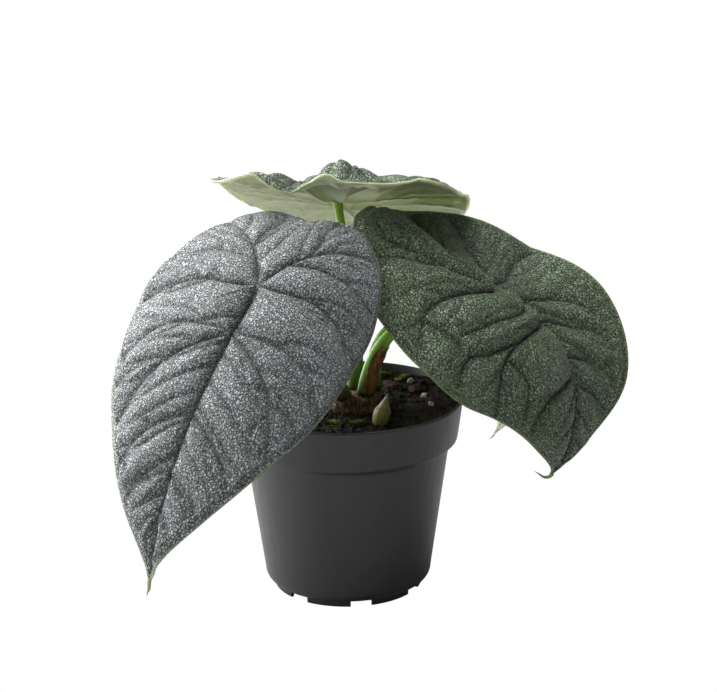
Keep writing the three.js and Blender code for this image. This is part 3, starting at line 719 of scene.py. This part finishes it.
def fan(centre, ring, flip):
    """Triangles from a ring of point numbers to a centre point."""
    ends = [*ring[1:], ring[0]]
    return [[centre, b, a] if flip else [centre, a, b] for a, b in zip(ring, ends)]


def build_leaf(name, leaf, upper, seed):
    """A blade with its relief on a fine upper face, a coarser under face and a drawn-out tip."""
    sectors, rings = (448, 136) if FINE else (256, 72)
    if name == "small":
        sectors, rings = sectors // 2, rings // 2
    shares = np.r_[np.linspace(0.01, 0.955, rings - 8), np.linspace(0.962, 1, 8)]
    loop = outline(leaf, sectors)
    share = np.repeat(shares, sectors)
    turn = np.tile(turns(sectors), rings)
    flat = np.vstack([loop * s for s in shares])
    base = blade_points(leaf, flat[:, 0], flat[:, 1], share, turn)
    quads = grid_faces(rings, sectors, True)
    normal = point_normals(base, quads)
    if np.dot(normal[:sectors].mean(0), midrib_frame(leaf, np.zeros(1))[2][0]) < 0:
        normal, quads = -normal, quads[:, ::-1]
    height, groove, net, edge, body = relief(leaf, flat, seed, loop)
    height = height * collar(np.linalg.norm(flat, axis=1))
    top = base + normal * height[:, None]
    count = len(top)
    # The under face takes every second point of the upper one.
    rows = np.r_[np.arange(0, rings - 1, 2), rings - 1]
    picked = (rows[:, None] * sectors + np.arange(0, sectors, 2)).ravel()
    half = sectors // 2
    under = (base + normal * (UNDER_FACE_RELIEF * height - body)[:, None])[picked]
    wound = quads[0][1] == 1
    under_quads = grid_faces(len(rows), half, True, wound, count)
    points = [top, under, [top[:sectors].mean(0)], [under[:half].mean(0)]]
    top_centre = count + len(under)
    rim = []
    last, last_under = (rings - 1) * sectors, count + (len(rows) - 1) * half
    for i in range(half):
        strip = [last + 2 * i, last_under + i, last_under + (i + 1) % half,
                 last + (2 * i + 2) % sectors, last + 2 * i + 1]
        rim.append(strip[::-1] if wound else strip)
    upper_faces = [*quads.tolist(), *fan(top_centre, range(sectors), wound)]
    lower_faces = [*under_quads.tolist(), *rim,
                   *fan(top_centre + 1, range(count, count + half), not wound)]
    faces = upper_faces + lower_faces
    indices = [0] * len(upper_faces) + [1] * len(lower_faces)
    # The drawn-out tip, a tapered blade-like horn.
    zero = np.zeros(1)
    start, end = (blade_points(leaf, np.array([share * leaf["length"]]), zero, zero + 1, zero)[0]
                  for share in (0.975, 1))
    line = catmull([start, end, *(end + np.array(leaf["tip"]))], 6)
    taper = np.clip(1.02 - np.linspace(0, 1, len(line))**1.4, 0.1, 1)
    horn, horn_faces = closed_tube(line, 0.95 * leaf["width"] / TYPICAL_WIDTH * taper, 10)
    shift = top_centre + 2
    faces += [[k + shift for k in face] for face in horn_faces]
    indices += [0] * len(horn_faces)
    points = np.vstack([*points, horn])
    extra = len(points) - count - len(under)
    flat3 = np.column_stack([flat, np.zeros(count)])
    web = np.clip((0.5 * -flat[:, 0] + 1.5 - np.abs(flat[:, 1])) / 3, 0, 1)
    spread = lambda v, fill: ("FLOAT", np.concatenate([v, v[picked], np.full(extra, fill)]))
    # groove and net carry painted shade to the upper face and the darker vein colour to the under
    # face.
    attributes = {
        "flat": ("FLOAT_VECTOR", np.vstack([flat3, flat3[picked], np.zeros((extra, 3))])),
        "groove": spread(groove, 0.7),
        "net": spread(net, 0.0),
        "web": spread(web, 0.8),
        "edge": spread(edge, 1.0),
    }
    return make_piece(f"blade_{name}", points, faces, [upper, UNDER_LEAF],
                      [f"leaf_{name}"], "leaf", indices, attributes=attributes)


# ---- stalks, stem and sheaths


def cross_axes(line):
    """Two directions square to a line at each of its points."""
    tangent = unit(np.gradient(line, axis=0))
    right = unit(np.array([1.0, 0, 0]) - tangent * tangent[:, :1])
    return right, np.cross(tangent, right)


def stalk_line(leaf, count):
    """Points and radii of a stalk from the stem's top to just under its blade."""
    up = midrib_frame(leaf, np.zeros(1))[2][0]
    end = junction(leaf) - up * (BLADE + GAP - 0.6)
    lean = unit(np.array([*leaf["lean"], 1.0]))
    start = np.array([*leaf["base"], STEM_TOP_Z + GAP - 1.2])
    span = np.linalg.norm(end - start)
    p = [start, start + lean * span * leaf["climb"], end - up * span * 0.28, end]
    t = np.linspace(0, 1, count)[:, None]
    line = (1 - t)**3 * p[0] + 3 * (1 - t)**2 * t * p[1] + 3 * (1 - t) * t**2 * p[2] + t**3 * p[3]
    flare = (1 - np.minimum(1, t[:, 0] * 1.8))**1.5
    return line, PETIOLE_RADIUS + (PETIOLE_BASE_RADIUS - PETIOLE_RADIUS) * flare


def closed_tube(line, radius, sides, shape=None):
    """A tube of untwisted rings round a line, closed at both ends."""
    right, back = cross_axes(line)
    turn = turns(sides)
    r = radius[:, None] * (np.ones(sides) if shape is None else shape(turn))
    points = (line[:, None] + right[:, None] * (r * np.cos(turn))[..., None]
              + back[:, None] * (r * np.sin(turn))[..., None])
    return points.reshape(-1, 3), tube_faces(len(line), sides)


def build_stalk(name, leaf):
    """A ribbed stalk that widens where it meets its blade."""
    line, radius = stalk_line(leaf, 70)
    flare = np.exp(-((1 - np.linspace(0, 1, 70)) / 0.035) ** 1.5)
    ribs = lambda turn: 1 + 0.035 * np.cos(3 * turn + 1) + 0.02 * np.cos(7 * turn)
    points, faces = closed_tube(line, radius * (1 + 0.35 * flare), 28, ribs)
    make_piece(f"stalk_{name}", points, faces, [STALK], [f"petiole_{name}"], "petiole")


def build_sheath(name, leaf, start, end, seed):
    """A thin torn strip round a stalk's foot, with a frayed top that ruffles outward."""
    rng = random.Random(seed)
    line, radius = stalk_line(leaf, 200)
    length = np.linalg.norm(np.diff(line, axis=0), axis=1).sum()
    right, back = cross_axes(line)
    around, along = 48, 34
    fray = np.array([
        1 - 0.13 * (1 + math.sin(j * 0.46 + seed)) - 0.16 * rng.random() for j in range(around + 1)])
    points = []
    for layer in range(2):
        for i in range(along + 1):
            for j in range(around + 1):
                t = (1 + SHEATH_HEIGHT * fray[j] * i / along) / length * 199
                k = int(t)
                centre = line[k] + (line[k + 1] - line[k]) * (t - k)
                turn = math.radians(start + (end - start) * j / around)
                ruffle = 0.22 * math.sin(j * 0.9 + i * 0.25 + seed)
                ruffle += 0.7 * (i / along) ** 3 * (0.4 + math.sin(j * 0.7))
                r = radius[k] + 0.35 + layer * 0.35 + max(0.0, ruffle)
                out = right[k] * math.cos(turn) + back[k] * math.sin(turn)
                points.append(centre + out * r)
    wide = around + 1
    size = wide * (along + 1)
    faces = grid_faces(along + 1, wide, False, True).tolist()
    faces += grid_faces(along + 1, wide, False, False, size).tolist()
    for i in range(along):
        a, b = i * wide, (i + 1) * wide
        faces.append([a, a + size, b + size, b][::-1])
        faces.append([a + around, b + around, b + around + size, a + around + size][::-1])
    for j in range(around):
        top = along * wide + j
        faces.append([j, j + 1, j + 1 + size, j + size])
        faces.append([top, top + size, top + 1 + size, top + 1])
    make_piece(f"old_sheath_{name}", np.array(points), faces, [SHEATH],
               [f"papery_sheath_{name}"], "sheath")


def join(parts):
    """One list of points and faces from several."""
    verts, faces, count = [], [], 0
    for p, f in parts:
        verts.append(p)
        faces += [[k + count for k in face] for face in f]
        count += len(p)
    return np.vstack(verts), faces


ROOTS = 5
ROOT_LENGTH = 24
ROOT_RADIUS = 1.8
STEM_FIBRES = 130


def build_rhizome():
    """The ringed, fibrous stem with its roots in the soil."""
    rng = random.Random(4)
    rows, sides = 90, 96
    t = np.linspace(0, 1, rows)
    swell = 0.55 + 0.5 * np.sin(np.minimum(1, t * 1.25) * np.pi / 2) - 0.06 * t
    ring = 0.35 * np.sin(t * 2 * np.pi * 9) ** 3
    radius = RHIZOME_RADIUS * swell + ring
    radius = radius * np.sqrt(np.clip(1 - ((t - 0.93) / 0.0705) ** 2 * (t > 0.93), 0.0, 1))
    z = STEM_BASE_Z + t * (STEM_TOP_Z - STEM_BASE_Z)
    centre = np.stack([STEM_TOP_X - RHIZOME_LEAN * (1 - t), 0 * t, z], -1)
    points = rings_of(radius[:, None], z, turns(sides), centre[:, :1])
    rough = fbm(points * (1, 1, 0.5), 0.35, 4, 1.0)
    outward = points - np.repeat(centre, sides, 0)
    points = points + unit(outward + 1e-9) * (rough * 0.55)[:, None]
    parts = [(points, tube_faces(rows, sides))]
    # Roots hidden in the soil.
    for i in range(ROOTS):
        angle = 2 * math.pi * i / ROOTS + 0.4
        direction = np.array([math.cos(angle), math.sin(angle), 0])
        start = np.array([STEM_TOP_X - RHIZOME_LEAN, 0, STEM_BASE_Z + 4 + 2 * (i % 3)])
        mid = start + direction * ROOT_LENGTH * 0.8 + (0, 0, -4)
        end = start + direction * ROOT_LENGTH + (0, 0, -ROOT_LENGTH * 1.4)
        s = np.linspace(0, 1, 24)[:, None]
        line = (1 - s)**2 * start + 2 * (1 - s) * s * mid + s**2 * end
        parts.append(closed_tube(line, ROOT_RADIUS * (1 - 0.55 * s[:, 0]), 12))
    # Frayed fibres of old leaf bases.
    for _ in range(STEM_FIBRES):
        angle = rng.uniform(0, 2 * math.pi)
        low = rng.uniform(SOIL_Z - 1, STEM_TOP_Z - 1.5)
        share = (low - STEM_BASE_Z) / (STEM_TOP_Z - STEM_BASE_Z)
        r = np.interp(share, t, radius) + 0.1
        swing = rng.uniform(-0.5, 0.5)
        rise = rng.uniform(2.5, 7)
        s = np.linspace(0, 1, 7)
        a = angle + swing * s
        out = r + 0.5 * s + rng.uniform(0, 1.3) * s**2
        zz = np.minimum(low + rise * s, STEM_TOP_Z + 0.8)
        cx = STEM_TOP_X - RHIZOME_LEAN * (1 - share)
        line = np.stack([cx + out * np.cos(a), out * np.sin(a), zz + 0.05 * s], -1)
        parts.append(closed_tube(line, rng.uniform(0.1, 0.26) * (1 - 0.6 * s), 5))
    make_piece("rhizome_stem", *join(parts), [STEM], ["rhizome"], "rhizome")


# ---- corm, soil and litter


def soil_height(x, y):
    """Height of the soil's surface, which rises towards the back."""
    low = 0.9 * np.sin(x * 0.16 + 1.1) * np.cos(y * 0.19 - 0.6)
    s = np.clip((x * 0.35 + y - 10) / 45, 0, 1)
    return SOIL_Z + low + SOIL_RISE * s * s * (3 - 2 * s)


def build_corm():
    """A young offset bulb with a step at its scar ring, leaning to the right."""
    rows, sides = 90, 48
    t = np.linspace(0.0, 1, rows)
    swell = np.sin(np.pi * np.minimum(1, (0.28 + t) / 1.28) ** 1.15).clip(0) ** 1.1
    radius = CORM_RADIUS * swell * (1 - 0.25 * t) * (1 - 0.3 * np.clip((t - 0.5) / 0.3, 0, 1))
    step = 0.35 / (1 + np.exp(-(0.56 - t) * 90))
    radius = np.maximum((radius - 0.2 + step) * np.clip((1 - t) / 0.02, 0, 1) ** 0.5, 0.02)
    turn = turns(sides)
    ribs = 1 + 0.02 * np.cos(4 * turn) * t[:, None] + 0.012 * np.cos(9 * turn + 1)
    sway = 1.5 * t**2
    points = rings_of(radius[:, None] * ribs, t * CORM_HEIGHT, turn, sway[:, None])
    lean = Matrix.Rotation(math.radians(11), 3, "Y")
    foot = (CORM_X, CORM_Y, soil_height(CORM_X, CORM_Y) - 3)
    points = points @ np.array(lean).T + foot
    make_piece("corm_bulb", points, tube_faces(rows, sides), [CORM], ["offset_corm"], "corm",
               attributes={"rise": ("FLOAT", np.repeat(t, sides))})


def icosphere(detail):
    """Points and triangles of a unit icosphere."""
    import bmesh
    ball = bmesh.new()
    bmesh.ops.create_icosphere(ball, subdivisions=detail, radius=1)
    ball.verts.ensure_lookup_table()
    points = np.array([v.co[:] for v in ball.verts])
    faces = [[v.index for v in f.verts] for f in ball.faces]
    ball.free()
    return points, faces


BALLS = {detail: icosphere(detail) for detail in (1, 2, 4)}


def lump(centre, size, stretch, seed, detail, rough):
    """A turned, roughened and stretched ball."""
    points, faces = BALLS[detail]
    rng = random.Random(seed)
    push = 1 + rough * fbm(points, 1.3, 3, rng.uniform(0, 50))
    turn = Matrix.Rotation(rng.uniform(0, 6.3), 3, "Z")
    turn = turn @ Matrix.Rotation(rng.uniform(-0.5, 0.5), 3, "X")
    shaped = points * push[:, None] * size * np.array(stretch)
    return shaped @ np.array(turn).T + np.array(centre), faces


def wall_radius(z):
    """The pot's inner radius at a height."""
    rim_foot = POT_HEIGHT - RIM_BAND
    top = RIM_RADIUS - RIM_TAPER - SHOULDER_STEP
    foot = top - BODY_TAPER
    heights = [FLOOR + FOOT_HEIGHT, FOOT_HEIGHT + CORNER_RADIUS, rim_foot - SHOULDER_DROP, rim_foot,
               POT_HEIGHT]
    radii = np.array([foot - 4.5, foot - 0.6, top, RIM_RADIUS - RIM_TAPER, RIM_RADIUS]) - WALL
    return float(np.interp(z, heights, radii))


SOIL_LEVELS = (78, 60, 40, 20, 9.5, 5.8)
CRUMBS = 2400 if FINE else 500


def build_soil():
    """The pot's filling, with a rough surface and loose crumbs on it."""
    rng = random.Random(11)
    sides, rings = 240, 90
    top = wall_radius(SOIL_Z) - GAP
    turn = turns(sides)
    shares = np.linspace(0.004, 1, rings)
    x = (shares[:, None] * top * np.cos(turn)).ravel()
    y = (shares[:, None] * top * np.sin(turn)).ravel()
    flat = np.stack([x, y, 0 * x], -1)
    edge = np.repeat(np.clip((1 - shares) / 0.05, 0, 1), sides)
    z = soil_height(x, y) + edge * (1.0 * fbm(flat, 0.11, 4, 2.0) + 0.55 * fbm(flat, 0.5, 3, 7.0))
    points = [np.stack([x, y, np.minimum(z, POT_HEIGHT - 0.5)], -1)]
    levels = np.array([*SOIL_LEVELS, 5.6])
    radii = np.array([wall_radius(height) - GAP for height in SOIL_LEVELS] + [10])
    points.append(rings_of(radii[:, None], levels, turn))
    verts = np.vstack(points)
    rows = rings + len(levels)
    faces = grid_faces(rows, sides, True).tolist()
    faces += fan(len(verts), range(sides), False)
    faces.append([(rows - 1) * sides + i for i in range(sides)])
    verts = np.vstack([verts, [[0, 0, z[:sides].mean()]]])
    parts = [(verts, [f[::-1] for f in faces])]
    for i in range(CRUMBS):
        r = top * math.sqrt(rng.random()) * 0.985
        a = rng.uniform(0, 2 * math.pi)
        px, py = r * math.cos(a), r * math.sin(a)
        size = 0.35 + 1.25 * rng.random() ** 3
        pz = soil_height(px, py) + size * 0.15
        if math.hypot(px - STEM_TOP_X, py) < RHIZOME_RADIUS + 0.5 or r + size > top:
            continue
        stretch = (1, rng.uniform(0.6, 1), rng.uniform(0.5, 0.9))
        parts.append(lump((px, py, pz), size, stretch, i, 2 if size > 1.1 else 1, 0.5))
    make_piece("soil_surface", *join(parts), [SOIL], ["potting_soil"], "soil")


# Loose bits on the soil: where each one lies.
LITTER = {
    "perlite_grain": [(40.5, 14), (43.5, -0.5), (34, 33), (-22, 20), (-30, -14), (6, 33)],
    "bark_chip": [(24, 28), (37, 23), (-24, 4)],
    "moss_clump": [(-6, -26), (5, -28), (19, 45), (30, 41), (-18, 33)],
}
MOSS_RADIUS = 4.6
MOSS_TUFTS = 260


def moss(centre, number):
    """A cushion covered with short pointed tufts."""
    rng = random.Random(number)
    parts = [lump(centre - (0, 0, 0.6), MOSS_RADIUS, (1, 0.8, 0.4), number, 2, 0.4)]
    for _ in range(MOSS_TUFTS):
        a, r = rng.uniform(0, 6.283), MOSS_RADIUS * math.sqrt(rng.random())
        px, py = r * math.cos(a), 0.8 * r * math.sin(a)
        root = centre + (px, py, 1.5 * (1 - (r / 5.2) ** 2) ** 0.5 - 1.2)
        tip = root + (px * 0.22 + rng.uniform(-0.5, 0.5), py * 0.22 + rng.uniform(-0.5, 0.5),
                      rng.uniform(0.7, 1.6))
        wide = rng.uniform(0.16, 0.3)
        tuft = [root + (wide, 0, 0), root + (-wide / 2, wide, 0), root + (-wide / 2, -wide, 0), tip]
        parts.append((np.array(tuft), [[0, 1, 3], [1, 2, 3], [2, 0, 3], [0, 2, 1]]))
    return parts


def build_litter():
    """The grains, chips and moss cushions on the soil."""
    looks = {"perlite": PERLITE, "bark": BARK, "moss": MOSS}
    spots = [(f"{name}_{i + 1}", *spot) for name, at in LITTER.items() for i, spot in enumerate(at)]
    for number, (name, x, y) in enumerate(spots):
        kind = name.split("_")[0]
        centre = np.array([x, y, soil_height(x, y) + (0.5 if kind == "perlite" else 0.6)])
        if kind == "perlite":
            parts = [lump(centre, 1.7, (1, 0.9, 0.85), number, 4, 0.45)]
        elif kind == "bark":
            parts = [lump(centre, 6, (1, 0.62, 0.3), number, 4, 0.5)]
        else:
            parts = moss(centre, number)
        make_piece(f"{name}_piece", *join(parts), [looks[kind]], [name], kind,
                   smooth=kind != "moss")


# ---- pot


def pot_profile(rim_foot, shoulder, top, foot, corner_z, ring, floor_top):
    """Radius and height of points from the foot up the outside and down the inside."""
    ledge = CENTRE_FOOT_RADIUS + 1.7
    recess = ring - FOOT_WIDTH
    band = RIM_RADIUS - RIM_TAPER
    points = [(0.01, 0), (CENTRE_FOOT_RADIUS, 0), (ledge, FOOT_HEIGHT), (recess - 0.4, FOOT_HEIGHT),
              (recess, 0.2), (recess + 0.2, 0), (ring - 0.5, 0), (ring - 0.2, 0.3)]
    for a in np.linspace(0, math.pi / 2, 13):
        points.append((ring + CORNER_SHARE * CORNER_RADIUS * math.sin(a),
                       corner_z - CORNER_RADIUS * math.cos(a)))
    points += [(foot + (top - foot) * s, corner_z + (shoulder - corner_z) * s)
               for s in np.linspace(0.1, 0.96, 10)]
    points += [(top, shoulder - 0.5), (top + 0.25, shoulder + 0.1), (band - 0.9, rim_foot - 1.0),
               (band - 0.25, rim_foot - 0.5), (band, rim_foot + 0.3)]
    points += [(band + RIM_TAPER * s, rim_foot + 20.2 * s) for s in np.linspace(0.1, 0.94, 8)]
    points += [(RIM_RADIUS - inward, POT_HEIGHT - down) for inward, down in (
        (0, 0.9), (0.08, 0.35), (0.35, 0.05), (0.7, 0), (1.05, 0.1), (WALL, 0.5))]
    points += [(band - WALL, rim_foot), (top - WALL, shoulder), (foot - WALL - 0.6, corner_z),
               (ring - WALL, floor_top), (ledge, floor_top), (CENTRE_FOOT_RADIUS, FLOOR),
               (0.01, FLOOR)]
    return np.array(points)


CORNER_SHARE = 0.75
BOX = np.array([(i, j, k) for i in (-1, 1) for j in (-1, 1) for k in (-1, 1)]) / 2
BOX_SIDES = [(0, 1, 3, 2), (4, 6, 7, 5), (0, 4, 5, 1), (2, 3, 7, 6), (0, 2, 6, 4), (1, 5, 7, 3)]


def build_pot():
    """The turned pot shell, with the notches in its foot and the slots in its floor cut out."""
    sides = 192
    rim_foot = POT_HEIGHT - RIM_BAND
    top = RIM_RADIUS - RIM_TAPER - SHOULDER_STEP
    foot = top - BODY_TAPER
    ring = foot - CORNER_RADIUS * CORNER_SHARE
    floor_top = FOOT_HEIGHT + FLOOR
    profile = pot_profile(rim_foot, rim_foot - SHOULDER_DROP, top, foot,
                          FOOT_HEIGHT + CORNER_RADIUS, ring, floor_top)
    points = rings_of(profile[:, :1], profile[:, 1], turns(sides))
    pot = make_piece("pot_shell", points, tube_faces(len(profile), sides), [POT],
                     ["nursery_pot"], "pot")
    cubes = []

    def cutter(size, radius, z, angle):
        c, s = math.cos(angle), math.sin(angle)
        block = (BOX * size + (radius, 0, z)) @ np.array([[c, s, 0], [-s, c, 0], [0, 0, 1]])
        cubes.append((block, BOX_SIDES))

    for i in range(FOOT_NOTCHES):
        cutter((2 * CORNER_RADIUS, NOTCH_WIDTH, 2 * FOOT_HEIGHT - 0.02), ring, 0,
               2 * math.pi * i / FOOT_NOTCHES - math.radians(80))
    for i in range(SLOT_COUNT):
        cutter((SLOT_LENGTH, SLOT_WIDTH, 6 * FLOOR), (CENTRE_FOOT_RADIUS + ring) / 2, floor_top,
               2 * math.pi * i / SLOT_COUNT)
    cut_points, cut_faces = join(cubes)
    mesh = bpy.data.meshes.new("cutters")
    mesh.from_pydata((cut_points * MM).tolist(), [], cut_faces)
    cutters = bpy.data.objects.new("cutters", mesh)
    link(cutters)
    cut = pot.modifiers.new("notches", "BOOLEAN")
    cut.operation = "DIFFERENCE"
    cut.solver = "EXACT"
    cut.object = cutters
    graph = bpy.context.evaluated_depsgraph_get()
    shaped = bpy.data.meshes.new_from_object(pot.evaluated_get(graph))
    pot.modifiers.clear()
    pot.data = shaped
    bpy.data.objects.remove(cutters)
    for polygon in pot.data.polygons:
        polygon.use_smooth = polygon.area < 0.00002 or abs(polygon.normal.z) < 0.9
    pot.data.set_sharp_from_angle(angle=math.radians(40))


# ---- build everything

build_pot()
build_soil()
build_rhizome()
build_corm()
build_litter()
for order, (leaf_name, leaf_values) in enumerate(LEAVES.items()):
    # The front-left blade takes the silver copy with painted sheen; the other blades take the green
    # one.
    look = SILVER_AND_PAINTED_SHEEN_LEAF if leaf_name == "front_left" else GREEN_LEAF
    build_leaf(leaf_name, leaf_values, look, 20 + order)
    build_stalk(leaf_name, leaf_values)
build_sheath("right", LEAVES["right"], -110, 60, 1)
build_sheath("left", LEAVES["front_left"], 110, 290, 2)

# ---- stage, lights and camera


FLOOR_COLOR = (0.5, 0.5, 0.5)
ROOM_LIGHT = 0.18


def staged_plane(name, size, location):
    """A sheet that the camera sees as plain white and that throws back some of the light."""
    mesh = bpy.data.meshes.new(name)
    half = size / 2
    corners = [(-half, -half, 0), (half, -half, 0), (half, half, 0), (-half, half, 0)]
    mesh.from_pydata(corners, [], [(0, 1, 2, 3)])
    plane = bpy.data.objects.new(name, mesh)
    plane.location = location
    link(plane)
    m = Nodes(name)
    m.put(Base_Color=FLOOR_COLOR, Roughness=0.9)
    glow = m.add("ShaderNodeEmission", {"Color": (1, 1, 1), "Strength": 1.0})
    both = m.add("ShaderNodeMixShader", {
        0: m.add("ShaderNodeLightPath").outputs["Is Camera Ray"],
        1: m.shader.outputs[0], 2: glow.outputs[0]})
    m.tree.links.new(both.outputs[0], m.tree.nodes["Material Output"].inputs[0])
    mesh.materials.append(m.material)


staged_plane("floor", 8, (0, 0, -0.0006))

# The camera sees a white room, and the part gets a weaker light from it.
world = bpy.data.worlds.new("studio")
bpy.context.scene.world = world
world.use_nodes = True
room = world.node_tree
seen = room.nodes.new("ShaderNodeBackground")
either = room.nodes.new("ShaderNodeMixShader")
for i, source in enumerate((room.nodes.new("ShaderNodeLightPath").outputs["Is Camera Ray"],
                            room.nodes["Background"].outputs[0], seen.outputs[0])):
    room.links.new(source, either.inputs[i])
room.links.new(either.outputs[0], room.nodes["World Output"].inputs[0])
for backdrop, strength in ((room.nodes["Background"], ROOM_LIGHT), (seen, 1.0)):
    backdrop.inputs["Color"].default_value = (1, 1, 1, 1)
    backdrop.inputs["Strength"].default_value = strength


def softbox(name, location, target, size, power):
    """A rectangular lamp that faces its target. Metres and watts."""
    light = bpy.data.lights.new(name, "AREA")
    light.shape = "RECTANGLE"
    light.size, light.size_y = size
    light.energy = power
    lamp = bpy.data.objects.new(name, light)
    lamp.location = location
    lamp.rotation_euler = (Vector(target) - Vector(location)).to_track_quat("-Z", "Y").to_euler()
    link(lamp)


softbox("top", (-0.3, 0.3, 1.25), (0, 0, 0.1), (1.3, 1.3), 25)
softbox("left_panel", (-0.95, 0.6, 0.45), (0, 0, 0.08), (1.3, 1.1), 34)
softbox("front_left", (-0.7, -1.15, 0.95), (0, 0, 0.12), (0.9, 0.9), 10)

ELEVATION = math.radians(17)
ROLL = math.radians(-0.6)
DISTANCE = 1.2
AIM = Vector((0.0065, 0, 0.1275))
PIXELS_PER_METRE = 1960
IMAGE_WIDTH = 717
SENSOR_WIDTH = 36
forward = Vector((0, math.cos(ELEVATION), -math.sin(ELEVATION)))
upright = Vector((0, math.sin(ELEVATION), math.cos(ELEVATION)))
across = Vector((1, 0, 0))
right = across * math.cos(ROLL) + upright * math.sin(ROLL)
up = upright * math.cos(ROLL) - across * math.sin(ROLL)
camera_data = bpy.data.cameras.new("camera")
camera_data.sensor_width = SENSOR_WIDTH
camera_data.lens = SENSOR_WIDTH * PIXELS_PER_METRE * DISTANCE / IMAGE_WIDTH
camera_data.clip_start = 0.05
camera_data.clip_end = 50
camera = bpy.data.objects.new("camera", camera_data)
turned = Matrix((right, up, -forward)).transposed().to_4x4()
camera.matrix_world = Matrix.Translation(AIM - forward * DISTANCE) @ turned
link(camera)
bpy.context.scene.camera = camera
bpy.context.scene.view_settings.view_transform = "Standard"
